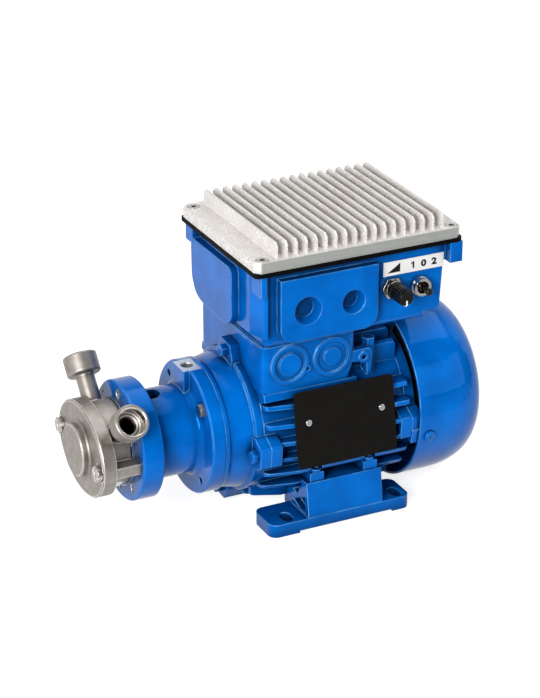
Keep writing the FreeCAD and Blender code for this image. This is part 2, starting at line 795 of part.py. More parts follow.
def pump_body():
    """Cast ring with a cam at the top of the chamber, two side ribs and two angled ports."""
    middle = f"({BODY_FRONT} + {BODY_REAR})/2"
    shell = rod("body_shell", "body_radius", BODY_FRONT, BODY_REAR)
    pieces = [shell]
    holes = [rod("body_chamber", "chamber_radius", f"{BODY_FRONT} - 1", f"{BODY_REAR} + 1")]
    for side, sign in FOOT_SIDES.items():
        inner, outer = "chamber_radius + 1", "rib_reach"
        reach = (inner, outer) if sign > 0 else (f"-({outer})", f"-({inner})")
        pieces.append(block(f"rib_{side}", (BODY_FRONT, BODY_REAR), reach,
                            ("-rib_height/2", "rib_height/2")))
        behind = "back_plate_radius + 0.2"
        reach = (behind, outer) if sign > 0 else (f"-({outer})", f"-({behind})")
        pieces.append(block(f"rib_tail_{side}", (f"{BODY_REAR} - 1", PUMP_FLANGE_FRONT), reach,
                            ("-rib_height/2", "rib_height/2")))
        holes.append(rod(f"rib_hole_{side}", "cover_screw_radius + screw_gap", f"{BODY_FRONT} - 1",
                         f"{PUMP_FLANGE_FRONT} + 1", f"{sign}*cover_screw_offset"))
    for side, sign in FOOT_SIDES.items():
        for kind, keep, target in (("outer", True, pieces), ("bore", False, holes)):
            upright = copy_at(f"port_up_{kind}_{side}", port_piece(f"port_{kind}_{side}", keep),
                              axis=(0, 1, 0), angle="-90")
            target.append(copy_at(f"port_lean_{kind}_{side}", upright, x=middle,
                                  axis=(1, 0, 0), angle=f"{-sign}*port_angle"))
    chamber = less("body_bored", fused("body_solid", pieces), holes)
    cam_ring = ring("cam_ring", "chamber_radius - cam_height", "chamber_radius + 0.5", BODY_FRONT,
                    BODY_REAR)
    wedge = slab("cam_wedge", "YZ", [("0", "0"),
                                     ("40*sin(cam_half_angle * 1 deg)", "40*cos(cam_half_angle * 1 deg)"),
                                     ("-40*sin(cam_half_angle * 1 deg)",
                                      "40*cos(cam_half_angle * 1 deg)")],
                 BODY_FRONT, BODY_REAR)
    node("pump_body", fused("body_with_cam", [chamber, shared("cam", cam_ring, wedge)]), turn="head_turn")


def impeller():
    """Rubber impeller: a hub with straight vanes that end in round beads."""
    start = f"({COVER_REAR} + running_gap)"
    end = f"({PLATE_FRONT} - running_gap)"
    bead_place = "impeller_radius - vane_tip_radius"
    pieces = [rod("impeller_hub", "impeller_hub_radius", start, end)]
    vane = fused("vane", [block("vane_web", (start, end), ("-vane_thickness/2", "vane_thickness/2"),
                                ("impeller_hub_radius - 1", bead_place)),
                          rod("vane_bead", "vane_tip_radius", start, end, "0", bead_place)])
    count = round(number("vane_count"))
    pieces += [copy_at(f"vane_{index}", vane, axis=(1, 0, 0), angle=f"{index}*360/{count} + 15")
               for index in range(count)]
    bore = rod("impeller_bore", "pump_shaft_radius", f"{start} - 1", f"{end} + 1")
    node("impeller", less("impeller_cut", fused("impeller_solid", pieces),
                          [bore, impeller_key("hub_key_way")]))


def impeller_key(name):
    """The key between the impeller and the pump shaft."""
    half = "impeller_key_width/2"
    middle = f"({COVER_REAR} + {PLATE_FRONT})/2"
    return block(name, (f"{middle} - 5", f"{middle} + 5"), (f"-{half}", half),
                 (f"pump_shaft_radius - {half}", f"pump_shaft_radius + {half}"))


def sleeve_key(name, longer="0"):
    """The key between the motor shaft and the sleeve of the pump shaft."""
    start = f"{SHAFT_FRONT} + 3"
    return block(name, (f"{start} - ({longer})", f"{start} + key_length + ({longer})"),
                 ("-key_width/2", "key_width/2"),
                 ("-shaft_end_radius - key_stand", "-shaft_end_radius - key_stand + key_width"))


def pump_shaft():
    """Stainless shaft whose sleeve slips over the motor shaft."""
    tip = f"({COVER_REAR} - bush_length + 1)"
    sleeve_rear = f"({SHAFT_FRONT} + sleeve_length - 3)"
    sleeve_front = f"({SHAFT_FRONT} - 3)"
    profile = turned("pump_shaft_turned", [
        (tip, "0"), (tip, "pump_shaft_radius"), (sleeve_front, "pump_shaft_radius"),
        (sleeve_front, "sleeve_radius"), (sleeve_rear, "sleeve_radius"),
        (sleeve_rear, "shaft_end_radius"),
        (f"{SHAFT_FRONT} - 0.2", "shaft_end_radius"), (f"{SHAFT_FRONT} - 0.2", "0")],
        bevels={1: "0.6", 3: "0.6"})
    way = block("sleeve_key_way", (f"{SHAFT_FRONT} - 0.2", f"{sleeve_rear} + 1"),
                ("-key_width/2", "key_width/2"), ("-shaft_end_radius - key_stand", "0"))
    screw_hole = set_screw_rod("set_screw_hole", "shaft_end_radius - 1", "sleeve_radius + 1")
    node("pump_shaft", less("pump_shaft_cut", profile, [way, impeller_key("shaft_key_way"), screw_hole]))
    node("impeller_key", impeller_key("impeller_key_block"))


def set_screw_rod(name, start, end):
    """The set screw's place on top of the sleeve, under the hole in the bracket pad."""
    return rod(name, "set_screw_radius", start, end, f"{DRIVE_FACE} - pad_hole_setback", "0", axis="Z")


def set_screw():
    """Socket set screw that presses the sleeve on to the motor shaft."""
    screw = set_screw_rod("set_screw_rod", "shaft_end_radius", "sleeve_radius - 0.5")
    socket = hexagon("set_screw_socket", "2.5", "sleeve_radius - 2.5", "sleeve_radius + 1",
                     f"{DRIVE_FACE} - pad_hole_setback", "0", axis="Z")
    node("set_screw", less("set_screw_cut", screw, [socket]))


def back_plate():
    """Thin steel plate behind the body, with a cup that holds the shaft seal."""
    hole = "pump_shaft_radius + 1"
    cup_rear = f"({PUMP_FLANGE_FRONT} + seal_cup_depth)"
    inner = "seal_cup_radius - seal_cup_wall"
    node("back_plate", turned("back_plate_turned", [
        (PLATE_FRONT, hole), (PLATE_FRONT, "back_plate_radius"), (PUMP_FLANGE_FRONT, "back_plate_radius"),
        (PUMP_FLANGE_FRONT, "seal_cup_radius"), (cup_rear, "seal_cup_radius"), (cup_rear, inner),
        (f"{PUMP_FLANGE_FRONT} - 0.5", inner), (f"{PUMP_FLANGE_FRONT} - 0.5", hole)]))


def shaft_seal():
    """Lip seal in the cup of the back plate."""
    start = f"({PUMP_FLANGE_FRONT} - 0.5)"
    lip = "pump_shaft_radius + bearing_gap"
    outer = "seal_cup_radius - seal_cup_wall"
    node("shaft_seal", turned("shaft_seal_turned", [
        (start, "pump_shaft_radius + 2"), (start, outer), (f"{start} + seal_length", outer),
        (f"{start} + seal_length", "pump_shaft_radius + 2"), (f"{start} + seal_length - 2", lip),
        (f"{start} + 2", lip)]))


def slinger():
    """Rubber disc on the pump shaft that throws leaked liquid off before the motor."""
    start = f"{PUMP_FLANGE_REAR} + 3"
    node("slinger", ring("slinger_ring", "pump_shaft_radius", "slinger_radius",
                         start, f"{start} + slinger_thickness"))


def bracket():
    """Cast lantern between the pump and the motor, with a window, a pad and two flanges."""
    inner = "(lantern_radius - lantern_wall)"
    neck = "(seal_cup_radius + running_gap)"
    step = f"({PUMP_FLANGE_FRONT} + seal_cup_depth + 3)"
    casting = turned("bracket_turned", [
        (PUMP_FLANGE_FRONT, neck), (PUMP_FLANGE_FRONT, "pump_flange_radius"),
        (PUMP_FLANGE_REAR, "pump_flange_radius"), (PUMP_FLANGE_REAR, "lantern_radius"),
        (MOTOR_FLANGE_FRONT, "lantern_radius"), (MOTOR_FLANGE_FRONT, "motor_flange_radius"),
        (DRIVE_FACE, "motor_flange_radius"), (DRIVE_FACE, "pilot_radius"),
        (f"{DRIVE_FACE} - pilot_depth - 0.2", "pilot_radius"),
        (f"{DRIVE_FACE} - pilot_depth - 0.2", inner),
        (step, inner), (step, neck)],
        rounds={4: "bracket_fillet", 3: "1.2"},
                     bevels={1: "bracket_edge", 2: "bracket_edge", 5: "bracket_edge"})
    pad = block("pad_block", (f"{MOTOR_FLANGE_FRONT} - pad_front_reach", DRIVE_FACE),
                ("-pad_half_width", "pad_half_width"), ("lantern_radius - 2", "pad_top"))
    tools = [block("pad_face", (f"{MOTOR_FLANGE_FRONT} - 9", f"{DRIVE_FACE} + 1"), ("-20", "20"),
                   ("pad_top", "pad_top + 9")),
             rod("pad_hole", "pad_hole_radius", "lantern_radius - lantern_wall - 4", "pad_top + 1",
                 f"{DRIVE_FACE} - pad_hole_setback", "0", axis="Z")]
    for side, sign in (("top", "1"), ("bottom", "-1")):
        end = f"({PUMP_FLANGE_REAR} + window_length - window_width/2)"
        low = f"{inner} - 6" if sign == "1" else "-lantern_radius - 2"
        high = "lantern_radius + 2" if sign == "1" else f"-{inner} + 6"
        tools.append(block(f"window_{side}", (PUMP_FLANGE_REAR, end),
                           ("-window_width/2 - 1", "window_width/2 - 1"),
                           (low, high)))
        tools.append(rod(f"window_end_{side}", "window_width/2", low, high, end, "-1", axis="Z"))
    for side, sign in SCREW_SIDES.items():
        angle = "head_turn" if side == "far" else "head_turn + 180"
        hole_y = f"cover_screw_offset*cos(({angle}) * 1 deg)"
        hole_z = f"cover_screw_offset*sin(({angle}) * 1 deg)"
        tools.append(rod(f"cover_screw_thread_{side}", "cover_screw_radius + 0.05",
                         f"{PUMP_FLANGE_FRONT} - 1",
                         f"{PUMP_FLANGE_FRONT} + cover_screw_grip + 1", hole_y, hole_z))
    for label, size, circle, angle in (
            ("mount_upper", "mount_hole_radius", "mount_hole_circle", "upper_mount_angle"),
            ("mount_lower", "mount_hole_radius", "mount_hole_circle", "lower_mount_angle"),
            ("dowel_upper", "dowel_hole_radius", "dowel_hole_circle", "upper_dowel_angle"),
            ("dowel_lower", "dowel_hole_radius", "dowel_hole_circle", "lower_dowel_angle")):
        tools.append(rod(label, size, f"{PUMP_FLANGE_FRONT} - 1", f"{PUMP_FLANGE_REAR} + 1",
                         *at_angle(circle, angle)))
    for index, angle in enumerate(FLANGE_ANGLES):
        tools.append(rod(f"flange_hole_{index}", "flange_bolt_radius + screw_gap",
                         f"{MOTOR_FLANGE_FRONT} - 1", f"{DRIVE_FACE} + 1",
                         *at_angle("flange_bolt_circle", angle)))
        tools.append(rod(f"flange_seat_{index}", "flange_bolt_flats/sqrt(3) + 0.4",
                         f"{MOTOR_FLANGE_FRONT} - 7", MOTOR_FLANGE_FRONT,
                         *at_angle("flange_bolt_circle", angle)))
    tools.append(rod("pilot_room", "pilot_radius", f"{DRIVE_FACE} - pilot_depth - 0.2",
                     f"{DRIVE_FACE} + 1"))
    node("bracket", less("bracket_cut", fused("bracket_solid", [casting, pad]), tools))


def hex_bolt(name, flats, radius, top, seat, end, y, z, bevel="0.5"):
    """A hexagon bolt along the shaft direction, head at the front, bevelled round its face."""
    head = hexagon(f"{name}_hex", flats, top, seat)
    crown = turned(f"{name}_crown", [(top, "0"), (top, f"({flats})/sqrt(3)"),
                                     (seat, f"({flats})/sqrt(3)"),
                                     (seat, "0")], bevels={1: bevel})
    shank = rod(f"{name}_shank", radius, f"({top} + {seat})/2", end)
    whole = fused(f"{name}_bolt", [shared(f"{name}_head", head, crown), shank])
    return copy_at(f"{name}_placed", whole, y=y, z=z)


def bracket_bolts():
    """Two bolts that hold the bracket on the motor flange."""
    bolts = []
    for index, angle in enumerate(FLANGE_ANGLES[::2]):
        bolts.append(hex_bolt(f"bracket_bolt_{index}", "flange_bolt_flats", "flange_bolt_radius",
                              f"({MOTOR_FLANGE_FRONT} - flange_bolt_head)", MOTOR_FLANGE_FRONT,
                              f"{DRIVE_FACE} + flange_bolt_grip", *at_angle("flange_bolt_circle", angle)))
    node("bracket_bolts", group("bracket_bolt_pair", bolts))


def lug(name, start, end, grown="0"):
    """A bolt lug straight above the shaft, with sloped shoulders."""
    root = "(rim_radius - 3)"
    base, tip = f"(lug_base_half_width + {grown})", f"(lug_half_width + {grown})"
    reach = f"(lug_reach + {grown})"
    return slab(name, "YZ", [(f"-{base}", root), (base, root), (base, "rim_radius + 1"), (tip, reach),
                             (f"-{tip}", reach), (f"-{base}", "rim_radius + 1")],
                start, end, rounds={3: "1.5", 4: "1.5"})


def drive_end_shield():
    """Front cover of the motor: flange face with a pilot, bell, bearing seat and four lugs."""
    ring_rear = f"({DRIVE_FACE} + shield_ring_length)"
    rim_front = f"({FRAME_FRONT} - rim_length)"
    hub_rear = f"({FRONT_BEARING} + bearing_width)"
    inner = "(rim_radius - housing_wall)"
    casting = turned("shield_turned", [
        (f"{DRIVE_FACE} - pilot_depth", "shaft_core_radius"),
        (f"{DRIVE_FACE} - pilot_depth", "pilot_radius - 0.1"),
        (DRIVE_FACE, "pilot_radius - 0.1"), (DRIVE_FACE, "motor_flange_radius"),
        (ring_rear, "motor_flange_radius"), (f"{ring_rear} + 1.5", "bell_front_radius - 0.6"),
        (f"{ring_rear} + 3.5", "bell_front_radius"), (rim_front, "bell_rear_radius"),
        (rim_front, "rim_radius"), (FRAME_FRONT, "rim_radius"), (FRAME_FRONT, inner),
        (f"{hub_rear} - 1", inner), (f"{hub_rear} - 4", "bearing_hub_radius"),
        (hub_rear, "bearing_hub_radius"), (hub_rear, "bearing_radius"), (FRONT_BEARING, "bearing_radius"),
        (FRONT_BEARING, "shaft_core_radius")],
        rounds={5: "1.2"}, bevels={3: "0.5", 8: "0.8"})
    lugs = round_shaft("shield_lug", lug("shield_lug_first", f"{FRAME_FRONT} - lug_thickness",
                                         FRAME_FRONT),
                       LUG_ANGLES)
    tools = []
    for index, angle in enumerate(LUG_ANGLES):
        place = at_angle("lug_bolt_circle", angle)
        seat = f"{FRAME_FRONT} - lug_thickness"
        tools.append(rod(f"shield_lug_hole_{index}", "lug_bolt_radius + screw_gap", f"{seat} - 1",
                         f"{FRAME_FRONT} + 1", *place))
        tools.append(rod(f"shield_lug_seat_{index}", "lug_bolt_flats/sqrt(3) + 1", f"{seat} - 9", seat,
                         *place))
    for index, angle in enumerate(FLANGE_ANGLES):
        tools.append(rod(f"shield_thread_{index}", "flange_bolt_radius + 0.05", f"{DRIVE_FACE} - 1",
                         f"{DRIVE_FACE} + flange_bolt_grip + 1", *at_angle("flange_bolt_circle", angle)))
    pads = [rod(f"thread_pad_{index}", "flange_bolt_radius + 2.5", f"{DRIVE_FACE} + 1",
                f"{DRIVE_FACE} + flange_bolt_grip + 2", *at_angle("flange_bolt_circle", angle))
            for index, angle in enumerate(FLANGE_ANGLES)]
    node("drive_end_shield", less("drive_end_shield_cut", fused("shield_solid", [casting] + lugs + pads),
                                  tools))


def shield_bolts():
    """Eight bolts through the lugs: four at each end of the motor frame."""
    bolts = []
    seat = f"({FRAME_FRONT} - lug_thickness)"
    rear_seat = f"({FRAME_REAR} + fan_shield_depth)"
    for index, angle in enumerate(LUG_ANGLES):
        place = at_angle("lug_bolt_circle", angle)
        bolts.append(hex_bolt(f"front_bolt_{index}", "lug_bolt_flats", "lug_bolt_radius",
                              f"({seat} - lug_bolt_head)", seat, f"{seat} + lug_bolt_grip", *place))
        head = hexagon(f"rear_bolt_hex_{index}", "lug_bolt_flats", rear_seat,
                       f"{rear_seat} + lug_bolt_head")
        shank = rod(f"rear_bolt_shank_{index}", "lug_bolt_radius", f"{rear_seat} - lug_bolt_grip",
                    f"{rear_seat} + 1")
        bolts.append(copy_at(f"rear_bolt_{index}", fused(f"rear_bolt_whole_{index}", [head, shank]),
                             y=place[0], z=place[1]))
    node("shield_bolts", group("shield_bolt_set", bolts))


def motor_frame():
    """Cast aluminium frame: a tube with level side fins, upright fins below, lugs and a saddle on top."""
    inner = "(rim_radius - housing_wall)"
    tube = rod("frame_tube", "rim_radius", FRAME_FRONT, FRAME_REAR)
    fin_front = f"({FRAME_FRONT} + 0.6)"
    fin_rear = FRAME_REAR
    wide = "fin_envelope_radius + 1"
    half = "fin_thickness/2"
    fins = []
    for step in range(-3, 3):
        level = f"fin_middle + {step}*fin_pitch"
        fins.append(block(f"side_fin_{step + 3}", (fin_front, fin_rear), (f"-({wide})", wide),
                          (f"{level} - {half}", f"{level} + {half}")))
    for step in range(-2, 3):
        place = f"{step}*fin_pitch"
        fins.append(block(f"bottom_fin_{step + 2}", (fin_front, fin_rear),
                          (f"{place} - {half}", f"{place} + {half}"),
                          (f"-({wide})", "-rim_radius + 10")))
    for step in range(-3, 4):
        place = f"{step}*top_fin_pitch"
        fins.append(block(f"top_fin_{step + 3}", ("base_rear + 1", fin_rear),
                          (f"{place} - {half}", f"{place} + {half}"), ("rim_radius - 18", wide)))
    envelope = turned("fin_envelope", [(fin_front, "0"), (fin_front, "fin_front_radius"),
                                       (f"{fin_front} + fin_taper_length", "fin_envelope_radius"),
                                       (fin_rear, "fin_envelope_radius"), (fin_rear, "0")],
                      rounds={1: "4", 3: "2"})
    foot_rooms = [slab(f"{side}_foot_room", "YZ", web_outline(sign, "-axis_height + running_gap"),
                       "web_front - running_gap", "web_rear + running_gap") for side,
                  sign in FOOT_SIDES.items()]
    finned = less("frame_fins_cut", shared("frame_fins", fused("fin_blocks", fins), envelope), foot_rooms)
    saddle = slab("saddle", "YZ", [("-saddle_root_half_width", "saddle_root_level"),
                                   ("-saddle_side_half_width", "saddle_side_level"),
                                   ("-saddle_half_width", "saddle_top"),
                                   ("saddle_half_width", "saddle_top"),
                                   ("saddle_side_half_width", "saddle_side_level"),
                                   ("saddle_root_half_width", "saddle_root_level")],
                  FRAME_FRONT, "base_rear + 0.5")
    post = hexagon("frame_post", "frame_post_flats", "rim_radius - 18", "frame_post_top", "frame_post_x",
                   "frame_post_y", axis="Z")
    pieces = [tube, finned, saddle, post]
    pieces += round_shaft("frame_lug", lug("frame_lug_first", FRAME_FRONT, f"{FRAME_FRONT} + 8"),
                          LUG_ANGLES)
    pieces += round_shaft("frame_rear_lug", lug("frame_rear_lug_first", f"{FRAME_REAR} - 8", FRAME_REAR),
                          LUG_ANGLES)
    tools = [rod("frame_bore", inner, f"{FRAME_FRONT} - 1", f"{FRAME_REAR} + 9")]
    for index, angle in enumerate(LUG_ANGLES):
        place = at_angle("lug_bolt_circle", angle)
        tools.append(rod(f"frame_thread_{index}", "lug_bolt_radius + 0.05", f"{FRAME_FRONT} - 1",
                         f"{FRAME_FRONT} + 7.5", *place))
        tools.append(rod(f"frame_rear_thread_{index}", "lug_bolt_radius + 0.05", f"{FRAME_REAR} - 7.5",
                         f"{FRAME_REAR} + 9", *place))
    for side, sign in FOOT_SIDES.items():
        for end in (-1, 1):
            name = f"{side}_{'front' if end < 0 else 'rear'}"
            place_x = f"({end}*foot_screw_spread/2)"
            place_y = f"{sign}*{FOOT_SCREW_Y}"
            seat = f"({WEB_TOP} + foot_lug_height)"
            pieces.append(block(f"foot_lug_{name}",
                                (f"{place_x} - foot_lug_half_length",
                                 f"{place_x} + foot_lug_half_length"),
                                panel_span(sign, "rim_radius - 12", f"{FOOT_SCREW_Y} + foot_lug_reach"),
                                (WEB_TOP, seat)))
            tools.append(rod(f"foot_lug_hole_{name}", "foot_screw_radius + screw_gap",
                             f"{WEB_TOP} - 1", f"{seat} + 1", place_x, place_y, axis="Z"))
            tools.append(rod(f"foot_lug_seat_{name}", "foot_screw_head_radius + 0.8",
                             seat, f"{seat} + 8", place_x, place_y, axis="Z"))
    bosses = []
    for end in (-1, 1):
        boss = rod(f"rivet_boss_{end + 1}", "rivet_boss_radius", "rim_radius - 2",
                   "nameplate_radius - nameplate_thickness",
                   f"nameplate_middle + {end}*rivet_spread/2", "rivet_height", axis="Z")
        bosses.append(copy_at(f"rivet_boss_placed_{end + 1}", boss, z="0",
                              axis=(1, 0, 0), angle="90 - nameplate_tilt"))
    plate_room = block("plate_room", ("nameplate_middle - nameplate_length/2 - 1",
                                      "nameplate_middle + nameplate_length/2 + 1"),
                       ("-nameplate_width/2 - 1", "nameplate_width/2 + 1"),
                       ("nameplate_radius - nameplate_thickness", "nameplate_radius + 9"))
    trimmed = less("frame_trimmed", fused("frame_solid", pieces),
                   [copy_at("plate_room_placed", plate_room, axis=(1, 0, 0),
                            angle="90 - nameplate_tilt")])
    whole = fused("frame_with_bosses", [trimmed] + bosses)
    for end in (-1, 1):
        hole = rod(f"rivet_hole_{end + 1}", "rivet_radius", "nameplate_radius - 7",
                   "nameplate_radius + 1",
                   f"nameplate_middle + {end}*rivet_spread/2", "rivet_height", axis="Z")
        tools.append(copy_at(f"rivet_hole_placed_{end + 1}", hole, axis=(1, 0, 0),
                             angle="90 - nameplate_tilt"))
    for sign_x in (-1, 1):
        for sign_y in (-1, 1):
            tools.append(rod(f"saddle_thread_{sign_x + 1}_{sign_y + 1}", "box_screw_radius + 0.05",
                             "saddle_top - 6.5",
                             "saddle_top + 1", *base_screw_place(sign_x, sign_y), axis="Z"))
    node("motor_frame", less("motor_frame_cut", whole, tools))


def base_screw_place(sign_x, sign_y):
    """Where a screw holds the terminal base on the saddle."""
    x = "(base_front + base_wall + 5)" if sign_x < 0 else "(base_rear - base_rear_slope - base_wall - 5)"
    return x, f"{sign_y}*(saddle_half_width - base_wall - 5)"


def web_outline(sign, lift="0"):
    """The profile of a foot's web, seen along the shaft and lifted by a rule."""
    points = [("foot_outer", "foot_thickness - 3"), ("foot_outer - web_lean", "web_height"),
              ("foot_outer - web_lean - web_top_width", "web_height"),
              ("foot_outer - 12", "web_height - 5"),
              ("foot_inner - 4", "17"), ("foot_inner - 8", "12"), ("foot_inner - 8", "5"),
              ("foot_inner", "3")]
    return [(f"{sign}*({out})", f"{level} + {lift}") for out, level in points]


WEB_TOP = "(web_height - axis_height)"
TERMINAL_SEAT = "(rim_radius + base_wall)"
TERMINAL_MIDDLE = "((base_front + base_rear)/2 + terminal_shift)"
FOOT_SCREW_Y = "(foot_outer - web_lean - web_top_width/2)"


def stator():
    """Laminated core and its two winding heads, pressed into the frame."""
    node("stator_core", ring("core_ring", "stator_bore_radius", "rim_radius - housing_wall",
                             "stack_start", STACK_END))
    heads = []
    for name, start, end in (("front", "stack_start - winding_length", "stack_start"),
                             ("rear", STACK_END, f"{STACK_END} + winding_length")):
        rounds = {1: "5", 0: "3"} if name == "front" else {2: "5", 3: "3"}
        heads.append(turned(f"winding_{name}",
                            [(start, "winding_inner_radius"), (start, "winding_outer_radius"),
                                                (end, "winding_outer_radius"),
                             (end, "winding_inner_radius")],
                            rounds=rounds))
    node("stator_windings", group("winding_heads", heads))


def rotor():
    """Rotor stack on the motor shaft, with the shaft's two bearing seats and keyed front end."""
    node("rotor_core", ring("rotor_ring", "shaft_core_radius", "rotor_radius", "stack_start", STACK_END))
    front_seat = f"({FRONT_BEARING} + bearing_width + 0.2)"
    rear_seat = f"({REAR_BEARING} - 0.2)"
    rear_shoulder = f"({REAR_BEARING} + bearing_width + 0.2)"
    shaft = turned("motor_shaft_turned", [
        (SHAFT_FRONT, "0"), (SHAFT_FRONT, "shaft_end_radius"),
        (f"{DRIVE_FACE} - 0.2", "shaft_end_radius"),
        (f"{DRIVE_FACE} - 0.2", "bearing_bore_radius"), (front_seat, "bearing_bore_radius"),
        (front_seat, "shaft_core_radius"), (rear_seat, "shaft_core_radius"),
        (rear_seat, "bearing_bore_radius"),
        (rear_shoulder, "bearing_bore_radius"), (rear_shoulder, "shaft_end_radius"),
        ("fan_start + fan_width + 3", "shaft_end_radius"), ("fan_start + fan_width + 3", "0")],
        bevels={1: "0.6"})
    node("motor_shaft", less("motor_shaft_cut", shaft, [sleeve_key("motor_key_way")]))
    node("shaft_key", sleeve_key("shaft_key_block"))


def bearings():
    """Two deep groove ball bearings, each an outer ring, an inner ring and its balls."""
    for label, start in (("front_bearing", FRONT_BEARING), ("rear_bearing", REAR_BEARING)):
        end = f"({start} + bearing_width)"
        bore = "bearing_bore_radius + bearing_gap"
        track = "(bearing_radius + bearing_bore_radius)/2"
        outer = ring(f"{label}_outer", f"{track} + 2", "bearing_radius", start, end)
        inner = ring(f"{label}_inner", bore, f"{track} - 2", start, end)
        balls = []
        for index in range(8):
            ball = doc.addObject("Part::Sphere", f"{label}_ball_{index}")
            bind(ball, {"Radius": "2"})
            place = at_angle(track, f"{index}*45")
            balls.append(put(ball, f"{start} + bearing_width/2", *place))
        node(label, group(f"{label}_set", [outer, inner] + balls))


def fan_end_shield():
    """Rear cover of the motor, with the rear bearing seat and four arms for the cowl."""
    inner = "(rim_radius - housing_wall)"
    hub_front = REAR_BEARING
    hub_seat = f"({REAR_BEARING} + bearing_width)"
    hub_rear = f"({hub_seat} + 2)"
    casting = turned("fan_shield_turned", [
        (FRAME_REAR, f"{inner} - 0.1"), (FRAME_REAR, "rim_radius"), (FAN_SHIELD_REAR, "rim_radius"),
        (FAN_SHIELD_REAR, "bearing_hub_radius"), (hub_rear, "bearing_hub_radius"),
        (hub_rear, "shaft_core_radius"), (hub_seat, "shaft_core_radius"), (hub_seat, "bearing_radius"),
        (hub_front, "bearing_radius"), (hub_front, "bearing_hub_radius"),
        (f"{FAN_SHIELD_REAR} - 4", "bearing_hub_radius + 3"),
        (f"{FAN_SHIELD_REAR} - 4", f"{inner} - 0.1")])
    lugs = round_shaft("fan_shield_lug", lug("fan_shield_lug_first", FRAME_REAR, FAN_SHIELD_REAR),
                       LUG_ANGLES)
    arm_end = "(cowl_screw_x + 5)"
    arm_outer = "(cowl_radius - cowl_wall - 0.4)"
    arm = fused("cowl_arm", [
        block("arm_root", (FRAME_REAR, FAN_SHIELD_REAR), ("-cowl_arm_width/2", "cowl_arm_width/2"),
              ("rim_radius - 3", arm_outer)),
        block("arm_bar", (f"{FAN_SHIELD_REAR} - 1", arm_end), ("-cowl_arm_width/2", "cowl_arm_width/2"),
              (f"{arm_outer} - cowl_arm_height", arm_outer))])
    arms = round_shaft("cowl_arm_placed", arm, COWL_ANGLES)
    tools = [rod(f"fan_lug_hole_{index}", "lug_bolt_radius + screw_gap", f"{FRAME_REAR} - 1",
                 f"{FAN_SHIELD_REAR} + 1", *at_angle("lug_bolt_circle", angle))
             for index, angle in enumerate(LUG_ANGLES)]
    tools += [rod(f"fan_lug_seat_{index}", "lug_bolt_flats/sqrt(3) + 0.6", FAN_SHIELD_REAR,
                  f"{FAN_SHIELD_REAR} + lug_bolt_head + 20", *at_angle("lug_bolt_circle", angle))
              for index, angle in enumerate(LUG_ANGLES)]
    thread = rod("cowl_thread", "cowl_screw_radius + 0.05", f"{arm_outer} - cowl_arm_height - 1",
                 f"{arm_outer} + 2", "cowl_screw_x", "0", axis="Z")
    tools += round_shaft("cowl_thread_placed", thread, COWL_ANGLES)
    node("fan_end_shield", less("fan_end_shield_cut", fused("fan_shield_solid", [casting] + lugs + arms),
                                tools))


def cowl_curve(inset):
    """The cowl's dome from its barrel to its flat back, drawn in by an inset."""
    start = "(cowl_start + cowl_barrel_length)"
    steps = 12
    points = []
    for step in range(steps + 1):
        angle = f"({90 * step}/{steps} * 1 deg)"
        along = f"{start} + (cowl_dome_length - {inset})*pow(sin({angle}); 2/cowl_roundness)"
        spread = f"(cowl_radius - cowl_back_radius - {inset})"
        out = f"cowl_back_radius + {spread}*pow(cos({angle}); 2/cowl_roundness)"
        if step == steps:
            out = "cowl_back_radius"
        if step == 0:
            along = start
        points.append((along, out))
    return points


def fan_cowl():
    """Pressed steel cowl over the fan, with a flat pierced back."""
    outer = [("cowl_start", "cowl_radius")] + cowl_curve("0")
    inner = [("cowl_start", "cowl_radius - cowl_wall")] + cowl_curve("cowl_wall")
    back = "cowl_start + cowl_barrel_length + cowl_dome_length"
    points = outer + [(back, "0"), (f"{back} - cowl_wall", "0")] + inner[::-1]
    shell = turned("cowl_turned", points)
    tools = []
    for circle in range(1, 5):
        for index in range(6 * circle):
            tools.append(rod(f"grille_{circle}_{index}", "grille_hole_radius", f"{back} - 4",
                             f"{back} + 1",
                             *at_angle(f"{circle}*grille_pitch", f"{index}*360/{6 * circle}")))
    tools.append(rod("grille_0_0", "grille_hole_radius", f"{back} - 4", f"{back} + 1"))
    hole = rod("cowl_hole", "cowl_screw_radius + screw_gap", "cowl_radius - 5", "cowl_radius + 5",
               "cowl_screw_x", "0", axis="Z")
    tools += round_shaft("cowl_hole_placed", hole, COWL_ANGLES)
    node("fan_cowl", less("fan_cowl_cut", shell, tools))


def cowl_screws():
    """Four pan head screws that hold the cowl on the arms."""
    seat = "cowl_radius"
    head = rod("cowl_screw_head", "cowl_screw_head_radius", seat, f"{seat} + cowl_screw_head_height",
               "cowl_screw_x", "0", axis="Z")
    domed = softened("cowl_screw_domed", head, "cowl_screw_head_height*0.6",
                     lambda edge: near(edge.BoundBox.ZMin, number(f"{seat} + cowl_screw_head_height")))
    shank = rod("cowl_screw_shank", "cowl_screw_radius", "cowl_radius - cowl_wall - cowl_arm_height",
                f"{seat} + 1", "cowl_screw_x", "0", axis="Z")
    slots = [block("cowl_screw_slot_long", ("cowl_screw_x - 2.2", "cowl_screw_x + 2.2"), ("-0.4", "0.4"),
                   (f"{seat} + cowl_screw_head_height - 1", f"{seat} + cowl_screw_head_height + 1")),
             block("cowl_screw_slot_cross", ("cowl_screw_x - 0.4", "cowl_screw_x + 0.4"), ("-2.2", "2.2"),
                   (f"{seat} + cowl_screw_head_height - 1", f"{seat} + cowl_screw_head_height + 1"))]
    screw = less("cowl_screw_cut", fused("cowl_screw_whole", [domed, shank]), slots)
    node("cowl_screws", group("cowl_screw_set", round_shaft("cowl_screw_placed", screw, COWL_ANGLES)))


